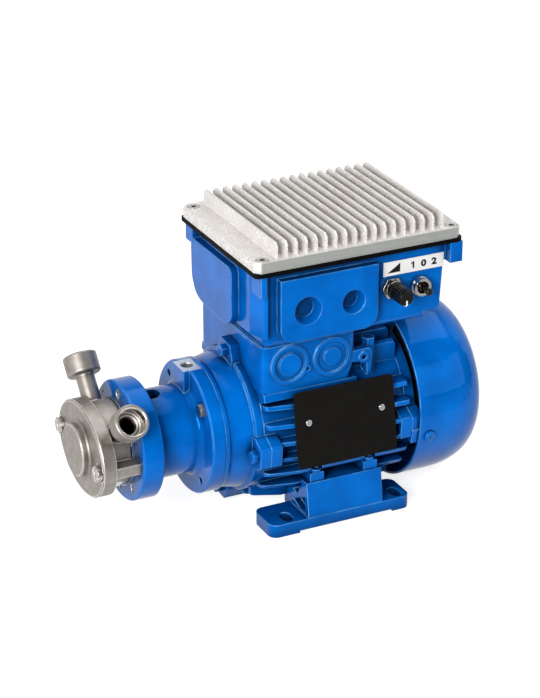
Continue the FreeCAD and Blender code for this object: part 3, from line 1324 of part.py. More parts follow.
def cooling_fan():
    """Plastic fan with straight radial blades, on the rear end of the motor shaft."""
    end = "(fan_start + fan_width)"
    pieces = [rod("fan_hub", "fan_hub_radius", "fan_start", end),
              rod("fan_disc", "fan_radius - 2", "fan_start", "fan_start + 2")]
    blade = block("fan_blade", ("fan_start + 1", end),
                  ("-fan_blade_thickness/2", "fan_blade_thickness/2"),
                  ("fan_hub_radius - 1", "fan_radius"))
    count = round(number("fan_blade_count"))
    pieces += [copy_at(f"fan_blade_{index}", blade, axis=(1, 0, 0), angle=f"{index}*360/{count} + 7")
               for index in range(count)]
    bore = rod("fan_bore", "shaft_end_radius", "fan_start - 1", f"{end} + 1")
    node("cooling_fan", less("cooling_fan_cut", fused("fan_solid", pieces), [bore]))
    node("fan_clip", ring("fan_clip_ring", "shaft_end_radius", "shaft_end_radius + 3", end,
                          f"{end} + clip_thickness"))


def foot(side, sign):
    """One foot of the motor: a slotted plate and a hollow web that carries the frame."""
    if sign < 0:
        def across(near_rule, far_rule):
            return f"-({far_rule})", f"-({near_rule})"
    else:
        def across(near_rule, far_rule):
            return near_rule, far_rule
    outer, inner = across("foot_inner", "foot_outer")
    plate = slab(f"{side}_plate", "XY", [("foot_front", outer), ("foot_rear", outer),
                                         ("foot_rear", inner),
                                         ("foot_front", inner)], "0", "foot_thickness",
                 rounds={0: "foot_corner", 1: "foot_corner", 2: "foot_corner", 3: "foot_corner"})
    web = slab(f"{side}_web", "YZ", web_outline(sign), "web_front", "web_rear",
               rounds={4: "2", 5: "3", 6: "1.5"})
    tools = [block(f"{side}_relief", ("-foot_relief_half_length", "foot_relief_half_length"),
                   across("foot_inner - 20", "foot_outer + 1"), ("-1", "foot_relief"))]
    for end in (-1, 1):
        name = "front" if end < 0 else "rear"
        place = f"({end}*foot_hole_spread/2)"
        half = "(foot_slot_length/2 - foot_slot_radius)"
        for way in (-1, 1):
            tools.append(rod(f"{side}_slot_{name}_{way + 1}", "foot_slot_radius", "-1",
                             "foot_thickness + 1",
                             place, f"{sign}*foot_hole_gap/2 + {way}*{half}", axis="Z"))
        tools.append(block(f"{side}_slot_{name}",
                           (f"{place} - foot_slot_radius", f"{place} + foot_slot_radius"),
                           (f"{sign}*foot_hole_gap/2 - {half}", f"{sign}*foot_hole_gap/2 + {half}"),
                           ("-1", "foot_thickness + 1")))
        wall = "web_front" if end < 0 else "web_rear"
        span = (f"{wall} - 1", f"{wall} + web_recess") if end < 0 else (f"{wall} - web_recess",
                                                                        f"{wall} + 1")
        tools.append(slab(f"{side}_recess_low_{name}", "YZ", [
            (f"{sign}*(foot_outer - 5.2)", "foot_thickness + 1.5"), (f"{sign}*(foot_outer - 6.4)", "21.5"),
            (f"{sign}*(foot_outer - 22.9)", "13.3"),
            (f"{sign}*(foot_outer - 14.4)", "foot_thickness + 1.5")], *span))
        tools.append(slab(f"{side}_recess_high_{name}", "YZ", [
            (f"{sign}*(foot_outer - 14)", "25.3"), (f"{sign}*(foot_outer - 23)", "20.4"),
            (f"{sign}*(foot_outer - 17.7)", "18.8")], *span))
        tools.append(rod(f"{side}_foot_thread_{name}", "foot_screw_radius + 0.05", "web_height - 10",
                         "web_height + 1", f"({end}*foot_screw_spread/2)", f"{sign}*{FOOT_SCREW_Y}",
                         axis="Z"))
    solid = less(f"{side}_foot_cut", fused(f"{side}_foot_solid", [plate, web]), tools)
    node(f"{side}_foot", solid, lift=False)


def foot_screws():
    """Four screws from the frame lugs down into the feet."""
    screws = []
    seat = f"({WEB_TOP} + foot_lug_height)"
    for side, sign in FOOT_SIDES.items():
        for end in (-1, 1):
            name = f"foot_screw_{side}_{end + 1}"
            place = (f"({end}*foot_screw_spread/2)", f"{sign}*{FOOT_SCREW_Y}")
            head = rod(f"{name}_head", "foot_screw_head_radius", seat, f"{seat} + foot_screw_head_height",
                       *place, axis="Z")
            shank = rod(f"{name}_shank", "foot_screw_radius", f"{WEB_TOP} - 9", f"{seat} + 1", *place,
                        axis="Z")
            socket = hexagon(f"{name}_socket", "3", f"{seat} + foot_screw_head_height - 1.5",
                             f"{seat} + foot_screw_head_height + 1", *place, axis="Z")
            screws.append(less(f"{name}_cut", fused(f"{name}_whole", [head, shank]), [socket]))
    node("foot_screws", group("foot_screw_set", screws))


def nameplate():
    """Thin rounded plate, leaning with the side of the frame, held by two rivets."""
    long, wide = "nameplate_length/2", "nameplate_width/2"
    corners = [(f"nameplate_middle - {long}", f"-{wide}"), (f"nameplate_middle + {long}", f"-{wide}"),
               (f"nameplate_middle + {long}", wide), (f"nameplate_middle - {long}", wide)]
    plate = slab("nameplate_slab", "XY", corners, "nameplate_radius - nameplate_thickness",
                 "nameplate_radius",
                 rounds={corner: "nameplate_corner" for corner in range(4)})
    holes, rivets = [], []
    for end in (-1, 1):
        place = (f"nameplate_middle + {end}*rivet_spread/2", "rivet_height")
        holes.append(rod(f"nameplate_hole_{end + 1}", "rivet_radius + 0.05", "nameplate_radius - 3",
                         "nameplate_radius + 3", *place, axis="Z"))
        head = rod(f"rivet_head_{end + 1}", "rivet_head_radius", "nameplate_radius",
                   "nameplate_radius + rivet_head_height", *place, axis="Z")
        domed = softened(f"rivet_domed_{end + 1}", head, "rivet_head_height*0.8",
                         lambda edge: near(edge.BoundBox.ZMin,
                                           number("nameplate_radius + rivet_head_height")))
        shank = rod(f"rivet_shank_{end + 1}", "rivet_radius", "nameplate_radius - 6.5",
                    "nameplate_radius + 0.2", *place, axis="Z")
        rivets.append(fused(f"rivet_{end + 1}", [domed, shank]))
    turn = "90 - nameplate_tilt"
    node("nameplate", less("nameplate_cut", plate, holes), turn=turn)
    node("nameplate_rivets", group("rivet_pair", rivets), turn=turn)


def terminal_base():
    """Cast box on the saddle: cable entries with blind discs on both sides, a pip and an earth ear."""
    outer = slab("base_outer", "XZ", [("base_front", "saddle_top"),
                                      ("base_rear - base_rear_slope", "saddle_top"),
                                      ("base_rear", f"{BASE_TOP} - 16"), ("base_rear", BASE_TOP),
                                      ("base_front", BASE_TOP)],
                 "-saddle_half_width", "saddle_half_width")
    doc.recompute()
    front, rear = number("base_front"), number("base_rear")

    def upright(edge):
        first, last = edge.Vertexes[0].Point, edge.Vertexes[-1].Point
        straight = near(first.x, last.x) and near(first.y, last.y)
        return straight and (near(first.x, front) or near(first.x, rear))

    shell = softened("base_cornered", outer, "base_corner", upright)
    pieces = [shell]
    hollow = slab("base_hollow", "XZ", [("base_front + base_wall", "saddle_top + base_wall"),
                                        ("base_rear - base_rear_slope - base_wall",
                                         "saddle_top + base_wall"),
                                        ("base_rear - base_wall", f"{BASE_TOP} - 15"),
                                        ("base_rear - base_wall", f"{BASE_TOP} + 1"),
                                        ("base_front + base_wall", f"{BASE_TOP} + 1")],
                  "-saddle_half_width + base_wall", "saddle_half_width - base_wall",
                  rounds={0: "2", 4: "2"})
    floor = fused("base_floor", [
        rod("floor_arch", "rim_radius + base_wall - 0.5", "base_front", "base_rear"),
        block("floor_pad", ("base_front", "base_rear"), ("-26", "26"), ("saddle_top", TERMINAL_SEAT))])
    tools = [less("base_room", hollow, [floor]),
             rod("tube_room", "rim_radius + running_gap", "base_front - 1", "base_rear + 1")]
    tools += round_shaft("lug_room", lug("lug_room_first", "base_front - 1",
                                         f"{FRAME_FRONT} + 8 + running_gap",
                                         "running_gap"), LUG_ANGLES[:1])
    for side, sign in FOOT_SIDES.items():
        wall = f"({sign}*saddle_half_width)"
        for name, x, disc in (("front", "front_knockout_x", "knockout_radius"),
                              ("rear", "rear_knockout_x", "small_knockout_radius")):
            if sign < 0:
                span, groove = (f"{wall} - ring_raise", f"{wall} + 1"), (f"{wall} - 5",
                                                                         f"{wall} - ring_raise + 1.4")
            else:
                span, groove = (f"{wall} - 1", f"{wall} + ring_raise"), (f"{wall} + ring_raise - 1.4",
                                                                         f"{wall} + 5")
            pieces.append(rod(f"{side}_{name}_ring", "knockout_ring_radius", *span, x, "knockout_level",
                              axis="Y"))
            moat = less(f"{side}_{name}_moat",
                        rod(f"{side}_{name}_moat_outer", "knockout_ring_radius - 2.6",
                                                   *groove, x, "knockout_level", axis="Y"),
                        [rod(f"{side}_{name}_moat_inner", disc, f"{groove[0]} - 1", f"{groove[1]} + 1",
                             x, "knockout_level", axis="Y")])
            tools.append(moat)
    ear_top = f"({BASE_TOP} - earth_ear_drop)"
    ear_end = "(base_rear + earth_ear_reach)"
    ear = slab("earth_ear", "XZ", [("base_rear - 4", f"{ear_top} - 7.5"),
                                   (f"{ear_end} - 4.1", f"{ear_top} - 9.5"),
                                   (f"{ear_end} - earth_ear_leg - 0.4", "saddle_top"),
                                   (f"{ear_end} - 0.7", "saddle_top"), (ear_end, f"{ear_top} - 4"),
                                   (ear_end, ear_top), ("base_rear - 2", ear_top)],
               "-saddle_half_width", "-saddle_half_width + earth_ear_width", rounds={5: "3", 1: "2"})
    hole_place = ("base_rear + earth_hole_reach", f"{BASE_TOP} - earth_hole_drop")
    boss = rod("earth_boss", "earth_boss_radius", "-saddle_half_width - 1",
               "-saddle_half_width + earth_ear_width", *hole_place, axis="Y")
    pip_place = ("pip_x", f"{BASE_TOP} - pip_drop")
    pip = rod("pip", "pip_radius", "-saddle_half_width - ring_raise", "-saddle_half_width + 1", *pip_place,
              axis="Y")
    pieces += [ear, boss, pip]
    tools.append(rod("pip_hole", "pip_hole_radius", "-saddle_half_width - 2",
                     "-saddle_half_width - ring_raise + pip_depth", *pip_place, axis="Y"))
    tools.append(rod("earth_hole", "earth_hole_radius", "-saddle_half_width - 2",
                     "-saddle_half_width + earth_ear_width + 1", *hole_place, axis="Y"))
    for sign_x in (-1, 1):
        for sign_y in (-1, 1):
            tools.append(rod(f"base_hole_{sign_x + 1}_{sign_y + 1}", "box_screw_radius + screw_gap",
                             "saddle_top - 1",
                             "saddle_top + base_wall + 1", *base_screw_place(sign_x, sign_y), axis="Z"))
    tools.append(rod("base_wire_hole", "wire_hole_radius", "saddle_top - 1", f"{TERMINAL_SEAT} + 1",
                     TERMINAL_MIDDLE, "wire_hole_y", axis="Z"))
    node("terminal_base", less("terminal_base_cut", fused("base_solid", pieces), tools))
    screws = []
    for sign_x in (-1, 1):
        for sign_y in (-1, 1):
            place = base_screw_place(sign_x, sign_y)
            seat = "(saddle_top + base_wall)"
            name = f"base_screw_{sign_x + 1}_{sign_y + 1}"
            screws.append(box_screw(name, seat, "saddle_top - 6", place))
    node("base_screws", group("base_screw_set", screws))


def box_screw(name, seat, end, place, nut=()):
    """A cheese head screw down through a floor, with or without a nut under it."""
    pieces = [rod(f"{name}_head", "box_screw_head_radius", seat, f"{seat} + box_screw_head_height",
                  *place, axis="Z"),
              rod(f"{name}_shank", "box_screw_radius", end, f"{seat} + 1", *place, axis="Z")]
    return fused(name, pieces + list(nut))


def terminal_block():
    """Moulded block with six studs that joins the winding leads to the drive."""
    top = f"({TERMINAL_SEAT} + terminal_thickness)"
    stud_foot = f"({TERMINAL_SEAT} + 2)"
    foot_block = block("terminal_moulding",
                       (f"{TERMINAL_MIDDLE} - terminal_half_length",
                        f"{TERMINAL_MIDDLE} + terminal_half_length"),
                       ("terminal_near_side", "terminal_far_side"), (TERMINAL_SEAT, top))
    studs, holes = [], []
    for row in (0, 1):
        for column in (-1, 0, 1):
            place = (f"{TERMINAL_MIDDLE} + {column}*stud_pitch", f"stud_first_y + {row}*stud_pitch")
            name = f"stud_{row}_{column + 1}"
            studs.append(fused(name, [
                rod(f"{name}_rod", "stud_radius", stud_foot, f"{stud_foot} + stud_length", *place,
                    axis="Z"),
                hexagon(f"{name}_nut", "stud_nut_flats", top, f"{top} + stud_nut_height", *place,
                        axis="Z")]))
            holes.append(rod(f"{name}_hole", "stud_radius", stud_foot, f"{top} + 1", *place, axis="Z"))
    node("terminal_block", less("terminal_block_cut", foot_block, holes))
    node("terminal_studs", group("stud_set", studs))


def base_gasket():
    """Thin seal between the terminal base and the drive housing."""
    sheet_outer = block("base_gasket_outer", ("base_front + 1", "base_rear - 1"),
                        ("-saddle_half_width + 1", "saddle_half_width - 1"), (BASE_TOP, BOX_BOTTOM))
    sheet_inner = block("base_gasket_inner", ("base_front + base_wall", "base_rear - base_wall"),
                        ("-saddle_half_width + base_wall", "saddle_half_width - base_wall"),
                        (f"{BASE_TOP} - 1", f"{BOX_BOTTOM} + 1"))
    node("base_gasket", less("base_gasket_cut", sheet_outer, [sheet_inner]))


def panel_span(sign, inner, outer):
    """A pair of Y rules on one side of the machine, low value first."""
    return (inner, outer) if sign > 0 else (f"-({outer})", f"-({inner})")


def drive_housing():
    """Cast housing of the drive: drafted box, raised panels, corner lugs and blind cable entries."""
    bottom, top = BOX_BOTTOM, BOX_TOP
    step = f"({bottom} + box_step_height)"
    profile = [("box_front", bottom), ("box_step_x", bottom), ("box_step_x + 3", step),
               ("box_rear - box_rear_draft", step), ("box_rear", top), ("box_front", top)]
    outer = slab("box_outer", "XZ", profile, "-box_half_width", "box_half_width",
                 rounds={0: "3", 1: "2", 3: "2"})
    doc.recompute()
    front = number("box_front")

    def upright(edge):
        first, last = edge.Vertexes[0].Point, edge.Vertexes[-1].Point
        straight = near(first.x, last.x) and near(first.y, last.y)
        return straight and near(first.x, front) and len(edge.Vertexes) == 2

    shell = softened("box_cornered", outer, "box_corner", upright)
    wall = "box_wall"
    hollow = slab("box_hollow", "XZ", [
        (f"box_front + {wall}", f"{bottom} + {wall}"), (f"box_step_x - {wall}", f"{bottom} + {wall}"),
        ("box_step_x + 1", f"{step} + {wall}"),
        (f"box_rear - box_rear_draft - {wall}", f"{step} + {wall}"),
        (f"box_rear - {wall}", f"{top} + 1"), (f"box_front + {wall}", f"{top} + 1")],
        f"-box_half_width + {wall}", f"box_half_width - {wall}", rounds={0: "3", 3: "2"})
    pieces, tools = [shell], [hollow]
    for side, sign in FOOT_SIDES.items():
        low, high = f"({bottom} + side_panel_bottom)", f"({top} - side_panel_drop)"
        panel = slab(f"{side}_panel", "XZ", [("side_panel_front", high), ("side_panel_front", low),
                                             ("side_panel_rear", low), ("side_panel_rear", high)],
                     *panel_span(sign, "box_half_width - 1", "box_half_width + side_panel_raise"),
                     rounds={1: "side_panel_corner", 2: "side_panel_corner"})
        pieces.append(panel)
        for name, x, radius in (("front", "front_entry_x", "front_entry_radius"),
                                ("rear", "rear_entry_x", "rear_entry_radius")):
            cone = turned(f"{side}_{name}_entry_cone", [
                ("0", "0"), ("0", f"{radius} - entry_inset"), ("entry_depth", radius),
                ("entry_depth + 1", radius), ("entry_depth + 1", "0")])
            floor = f"{sign}*(box_half_width + side_panel_raise - entry_depth)"
            tools.append(copy_at(f"{side}_{name}_entry", cone, x=x, y=floor, z=ENTRY_LEVEL,
                                 axis=(0, 0, 1), angle=f"{sign}*90"))
        lug_level = (f"{top} - corner_lug_drop", top)
        lug_front = "(box_front - pilaster_reach + corner_lug_setback)"
        pieces.append(block(f"{side}_front_corner", (lug_front, f"{lug_front} + {side}_lug_length"),
                            panel_span(sign, f"sink_half_width - {side}_lug_width", "sink_half_width"),
                            lug_level))
        pieces.append(block(f"{side}_rear_corner", ("box_rear + 0.5", "box_rear + 9.4"),
                            panel_span(sign, "box_half_width - 6", "sink_half_width"), lug_level))
        pieces.append(block(f"{side}_rear_corner_root", ("box_rear - 6", "box_rear + 1"),
                            panel_span(sign, "box_half_width - 6", "box_half_width - 0.1"), lug_level))
        for name, screw_x in (("front", "sink_screw_front"), ("rear", "sink_screw_rear")):
            tools.append(rod(f"{side}_{name}_corner_thread", "sink_screw_radius + 0.05", f"{top} - 10",
                             f"{top} + 1", screw_x, f"{sign}*sink_screw_offset", axis="Z"))
        for sign_x in (-1, 1):
            tools.append(rod(f"{side}_box_hole_{sign_x + 1}", "box_screw_radius + screw_gap",
                             f"{bottom} - 1",
                             f"{bottom} + box_wall + 1", *housing_screw_place(sign_x, sign), axis="Z"))
    outer_y = "-(box_half_width + pilaster_rise)"
    pilaster_front = "(box_front - pilaster_reach)"
    pieces.append(slab("pilaster", "XY", [
        (f"{pilaster_front} + pilaster_slant", outer_y), ("box_front + 0.3", outer_y),
        ("box_front + 0.3", "6 - box_half_width"), ("box_front + 1", "6 - box_half_width"),
        ("box_front + 1", f"{outer_y} + pilaster_width"), (pilaster_front, f"{outer_y} + pilaster_width")],
        f"{bottom} + 9", top, rounds={0: "pilaster_round", 5: "2"}))
    front_panel = slab("front_panel", "YZ", [
        ("-11.6", f"{bottom} + 6.5"), ("-5", f"{bottom} + 0.6"), ("9.9", f"{bottom} + 0.2"),
        ("35.1", f"{bottom} + 1.9"), ("43.6", f"{bottom} + 4.9"), ("49.3", f"{bottom} + 14.3"),
        ("box_half_width", f"{top} - 10.5"), ("-11.6", f"{top} - 10.5")],
        "box_front - front_panel_raise", "box_front + 1",
        rounds={3: "30", 4: "12", 5: "18", 0: "8", 1: "12", 7: "5"})
    pieces.append(front_panel)
    tools.append(rod("box_wire_hole", "12", f"{bottom} - 1", f"{bottom} + box_wall + 1",
                     "(base_front + base_rear)/2", "0", axis="Z"))
    tools.append(rod("pot_hole", "pot_bush_radius + 0.1", "-box_half_width - 1",
                     "-box_half_width + box_wall + 1",
                     "knob_x", "knob_level", axis="Y"))
    tools.append(rod("toggle_hole", "toggle_bush_radius + 0.1", "-box_half_width - 1",
                     "-box_half_width + box_wall + 1", "toggle_x", "toggle_level", axis="Y"))
    node("drive_housing", less("drive_housing_cut", fused("box_solid", pieces), tools))


def housing_screw_place(sign_x, sign_y):
    """Where a screw goes through the floor of the drive housing."""
    return f"(base_front + base_rear)/2 + {sign_x}*box_screw_x", f"{sign_y}*box_screw_y"


def housing_screws():
    """Four screws and nuts through the floor of the drive housing."""
    screws = []
    for side, sign in FOOT_SIDES.items():
        for sign_x in (-1, 1):
            place = housing_screw_place(sign_x, sign)
            name = f"housing_screw_{side}_{sign_x + 1}"
            nut = hexagon(f"{name}_nut", "box_screw_nut_flats", f"{BOX_BOTTOM} - box_screw_nut_height",
                          BOX_BOTTOM, *place, axis="Z")
            screws.append(box_screw(name, f"({BOX_BOTTOM} + box_wall)", f"{BOX_BOTTOM} - 6", place,
                                    [nut]))
    node("housing_screws", group("housing_screw_set", screws))


def box_gasket():
    """Black rubber frame between the drive housing and the heat sink."""
    rim = "gasket_overhang"
    outer = block("box_gasket_outer", (f"sink_front - {rim}", f"sink_rear + {rim}"),
                  (f"-sink_half_width - {rim}", f"sink_half_width + {rim}"), (BOX_TOP, SINK_BOTTOM))
    front, rear = number("sink_front - gasket_overhang"), number("sink_rear + gasket_overhang")
    cornered = softened("box_gasket_cornered", outer, "sink_corner",
                        lambda edge: near(edge.BoundBox.ZLength, number("box_gasket_thickness")))
    inner = block("box_gasket_inner", ("box_front + box_wall", "box_rear - box_wall"),
                  ("-box_half_width + box_wall", "box_half_width - box_wall"),
                  (f"{BOX_TOP} - 1", f"{SINK_BOTTOM} + 1"))
    tools = [inner] + sink_screw_rods("gasket_hole", "sink_screw_radius + screw_gap", f"{BOX_TOP} - 1",
                                      f"{SINK_BOTTOM} + 1")
    node("box_gasket", less("box_gasket_cut", cornered, tools))


def sink_screw_rods(name, radius, start, end):
    """Four upright rods at the corners of the heat sink."""
    return [rod(f"{name}_{side}_{x}", radius, start, end, x, f"{sign}*sink_screw_offset", axis="Z")
            for side, sign in FOOT_SIDES.items() for x in ("sink_screw_front", "sink_screw_rear")]


def heat_sink():
    """Die cast lid with upright cooling fins across it, and posts below for the circuit board."""
    plate = block("sink_plate", ("sink_front", "sink_rear"), ("-sink_half_width", "sink_half_width"),
                  (SINK_BOTTOM, SINK_TOP))
    cornered = softened("sink_cornered", plate, "sink_corner",
                        lambda edge: near(edge.BoundBox.ZLength, number("sink_thickness")),
                        "Part::Chamfer")
    pieces = [cornered]
    flat, low = "sink_fin_half_length", f"({SINK_TOP} - 1)"
    for index in range(round(number("sink_fin_count"))):
        start = f"(sink_fin_first + {index}*sink_fin_pitch)"
        pieces.append(slab(f"sink_fin_{index}", "YZ", [
            (f"-{flat}", low), (flat, low), (flat, f"{FIN_TOP} - sink_fin_bevel"),
            (f"{flat} - sink_fin_bevel", FIN_TOP), (f"-{flat} + sink_fin_bevel", FIN_TOP),
            (f"-{flat}", f"{FIN_TOP} - sink_fin_bevel")],
            f"{start} - sink_fin_thickness/2", f"{start} + sink_fin_thickness/2"))
    pieces += [rod(f"board_post_{index}", "board_post_radius", BOARD_TOP, f"{SINK_BOTTOM} + 1", *place,
                   axis="Z")
               for index, place in enumerate(BOARD_POSTS)]
    tools = sink_screw_rods("sink_hole", "sink_screw_radius + screw_gap", f"{SINK_BOTTOM} - 1",
                            f"{SINK_TOP} + 1")
    tools += sink_screw_rods("sink_counterbore", "sink_screw_head_radius + 0.4",
                             f"{SINK_TOP} - sink_screw_head_height", f"{SINK_TOP} + 1")
    tools += [rod(f"board_post_thread_{index}", "board_screw_radius + 0.05", f"{BOARD_TOP} - 1",
                  f"{BOARD_TOP} + 6", *place, axis="Z")
              for index, place in enumerate(BOARD_POSTS)]
    node("heat_sink", less("heat_sink_cut", fused("sink_solid", pieces), tools))


BOARD_POSTS = [(x, f"{sign}*board_post_y") for x in ("board_post_front", "board_post_rear")
               for sign in (-1, 1)]


def heat_sink_screws():
    """Four socket screws through the heat sink and gasket into the housing corners."""
    seat = f"({SINK_TOP} - sink_screw_head_height)"
    screws = []
    heads = sink_screw_rods("sink_screw_head", "sink_screw_head_radius", seat, SINK_TOP)
    shanks = sink_screw_rods("sink_screw_shank", "sink_screw_radius", f"{BOX_TOP} - 9", f"{seat} + 1")
    for index, (head, shank) in enumerate(zip(heads, shanks)):
        side, x = [(sign, x) for sign in FOOT_SIDES.values() for x in ("sink_screw_front",
                                                                       "sink_screw_rear")][index]
        socket = hexagon(f"sink_screw_socket_{index}", "3.4", f"{SINK_TOP} - 2.4", f"{SINK_TOP} + 1",
                         x, f"{side}*sink_screw_offset", axis="Z")
        screws.append(less(f"sink_screw_{index}", fused(f"sink_screw_whole_{index}", [head, shank]),
                           [socket]))
    node("heat_sink_screws", group("sink_screw_set", screws))


def circuit_board():
    """Drive board screwed under the heat sink, with its capacitors hanging into the housing."""
    board = block("board_sheet", ("board_front", "board_rear"), ("-board_half_width", "board_half_width"),
                  (BOARD_BOTTOM, BOARD_TOP))
    holes = [rod(f"board_hole_{index}", "board_screw_radius + screw_gap", f"{BOARD_BOTTOM} - 1",
                 f"{BOARD_TOP} + 1", *place, axis="Z")
             for index, place in enumerate(BOARD_POSTS)]
    node("circuit_board", less("circuit_board_cut", board, holes))
    screws = [fused(f"board_screw_{index}", [
        rod(f"board_screw_head_{index}", "board_screw_head_radius",
            f"{BOARD_BOTTOM} - board_screw_head_height", BOARD_BOTTOM, *place, axis="Z"),
        rod(f"board_screw_shank_{index}", "board_screw_radius", f"{BOARD_BOTTOM} - 1", f"{BOARD_TOP} + 5",
            *place, axis="Z")])
        for index, place in enumerate(BOARD_POSTS)]
    node("board_screws", group("board_screw_set", screws))
    cans = [rod(f"capacitor_{index}", "capacitor_radius", f"{BOARD_BOTTOM} - capacitor_length",
                BOARD_BOTTOM,
                f"capacitor_first_x + {index}*capacitor_pitch", "capacitor_y", axis="Z")
            for index in range(round(number("capacitor_count")))]
    node("capacitors", group("capacitor_set", cans))


def potentiometer():
    """Speed potentiometer behind the wall, its collar and its hexagon nut."""
    wall = "(-box_half_width)"
    back = f"({wall} + box_wall)"
    body = fused("pot_solid", [
        rod("pot_can", "pot_body_radius", back, f"{back} + pot_body_depth", "knob_x", "knob_level",
            axis="Y"),
        rod("pot_bush", "pot_bush_radius", f"{wall} - pot_nut_thickness - 0.6", f"{back} + 1", "knob_x",
            "knob_level",
            axis="Y")])
    bore = rod("pot_bore", "pot_shaft_radius + bearing_gap", f"{wall} - 9",
               f"{back} + pot_body_depth - 2",
               "knob_x", "knob_level", axis="Y")
    node("potentiometer", less("potentiometer_cut", body, [bore]))
    nut = hexagon("pot_nut_hex", "pot_nut_radius*sqrt(3)", f"{wall} - pot_nut_thickness", wall, "knob_x",
                  "knob_level", axis="Y")
    hole = rod("pot_nut_hole", "pot_bush_radius", f"{wall} - 9", f"{wall} + 1", "knob_x", "knob_level",
               axis="Y")
    node("pot_nut", less("pot_nut_cut", nut, [hole]))


def knob():
    """Ribbed knob on the potentiometer spindle, with a metal collar round its foot."""
    wall = "(-box_half_width)"
    tip, base = f"({wall} - knob_end)", f"({wall} - knob_start)"
    core = turned("knob_turned", [("0", "0"), ("0", "knob_base_radius"), ("2.2", "knob_base_radius"),
                                  ("3", "knob_base_radius - 0.5"),
                                  ("knob_end - knob_start", "knob_tip_radius"),
                                  ("knob_end - knob_start", "0")], rounds={4: "0.7"})
    facing = copy_at("knob_facing", core, x="knob_x", y=base, z="knob_level", axis=(0, 0, 1), angle="-90")
    ribs = []
    for index in range(round(number("knob_rib_count"))):
        angle = f"({index}*360/knob_rib_count * 1 deg)"
        ribs.append(rod(f"knob_rib_{index}", "knob_rib_radius", f"{tip} + 1.2", f"{base} - 2.4",
                        f"knob_x + (knob_tip_radius + 0.25)*sin({angle})",
                        f"knob_level + (knob_tip_radius + 0.25)*cos({angle})", axis="Y"))
    spindle = rod("knob_spindle", "pot_shaft_radius", f"{base} - 1",
                  f"{wall} + box_wall + pot_body_depth - 3",
                  "knob_x", "knob_level", axis="Y")
    node("knob", fused("knob_solid", [facing, spindle] + ribs))
    collar = rod("knob_collar_outer", "pot_collar_radius", base, f"{wall} - pot_nut_thickness - 1",
                 "knob_x", "knob_level", axis="Y")
    hole = rod("knob_collar_hole", "pot_shaft_radius", f"{base} - 1", f"{wall}", "knob_x", "knob_level",
               axis="Y")
    node("knob_collar", less("knob_collar_cut", collar, [hole]))


def toggle():
    """Three-place toggle switch: body behind the wall, threaded bush, ring nut and lever."""
    wall = "(-box_half_width)"
    back = f"({wall} + box_wall)"
    place = ("toggle_x", "toggle_level")
    pivot = f"({wall} - toggle_bush_length + toggle_ball_radius - 0.6)"
    body = fused("toggle_solid", [
        block("toggle_case", ("toggle_x - 6.5", "toggle_x + 6.5"), (back, f"{back} + 12"),
              ("toggle_level - 5.5", "toggle_level + 5.5")),
        rod("toggle_bush", "toggle_bush_radius", f"{wall} - toggle_bush_length", f"{back} + 1", *place,
            axis="Y")])
    bore = rod("toggle_bore", "toggle_ball_radius + running_gap", f"{wall} - toggle_bush_length - 1",
               f"{pivot} + toggle_ball_radius + 0.6", *place, axis="Y")
    node("toggle_switch", less("toggle_switch_cut", body, [bore]))
    ring_nut = rod("toggle_ring", "toggle_ring_radius", f"{wall} - toggle_ring_length", wall, *place,
                   axis="Y")
    collar = rod("toggle_collar", "toggle_bush_radius + 1", f"{wall} - toggle_bush_length", f"{wall} - 1",
                 *place,
                 axis="Y")
    hole = rod("toggle_ring_hole", "toggle_bush_radius", f"{wall} - 9", f"{wall} + 1", *place, axis="Y")
    node("toggle_nut", less("toggle_nut_cut", fused("toggle_nut_solid", [ring_nut, collar]), [hole]))
    ball = doc.addObject("Part::Sphere", "toggle_ball")
    bind(ball, {"Radius": "toggle_ball_radius"})
    put(ball, "toggle_x", pivot, "toggle_level")
    stem = turned("toggle_stem", [("0", "0"), ("0", "toggle_root_radius"),
                                  ("toggle_reach - 5.5", "toggle_root_radius"),
                                  ("toggle_reach - 1.5", "toggle_tip_radius"),
                                  ("toggle_reach", "toggle_tip_radius"),
                                  ("toggle_reach", "0")], rounds={4: "1", 3: "0.6"})
    facing = copy_at("toggle_facing", stem, x="toggle_x", y=pivot, z="toggle_level", axis=(0, 0, 1),
                     angle="-90")
    node("toggle_lever", fused("toggle_lever_solid", [ball, facing]))


def control_label():
    """Thin plate above the controls."""
    wall = "(-box_half_width)"
    node("control_label", block("label_plate", ("label_front", "label_rear"),
                                (f"{wall} - label_thickness", wall),
                                ("label_bottom", "label_bottom + label_height")))


def check_and_write():
    """Check every object and write each sub-part to its own file."""
    doc.recompute()
    failed = [item.Label for item in doc.Objects if {"Invalid", "Error"} & set(item.State)]
    if failed:
        raise RuntimeError(f"failed objects: {failed}")
    os.makedirs("parts", exist_ok=True)
    for item in nodes:
        shape = item.Shape
        if shape.isNull() or not shape.isValid() or not shape.Solids:
            raise RuntimeError(f"{item.Label} has no valid solid")
        shape.exportStep(f"parts/{item.Label}.step")
        print(f"{item.Label}: {len(shape.Solids)} solids, {shape.Volume:.0f} cubic mm")
    print(f"{len(nodes)} sub-parts")


pump_cover()
cover_bush()
cover_screws()
head_gaskets()
pump_body()
impeller()
pump_shaft()
set_screw()
back_plate()
shaft_seal()
slinger()
bracket()
bracket_bolts()
drive_end_shield()
shield_bolts()
motor_frame()
stator()
rotor()
bearings()
fan_end_shield()
fan_cowl()
cowl_screws()
cooling_fan()
for foot_side, foot_sign in FOOT_SIDES.items():
    foot(foot_side, foot_sign)
foot_screws()
nameplate()
terminal_base()
terminal_block()
base_gasket()
drive_housing()
housing_screws()
box_gasket()
heat_sink()
heat_sink_screws()
circuit_board()
potentiometer()
knob()
toggle()
control_label()
check_and_write()
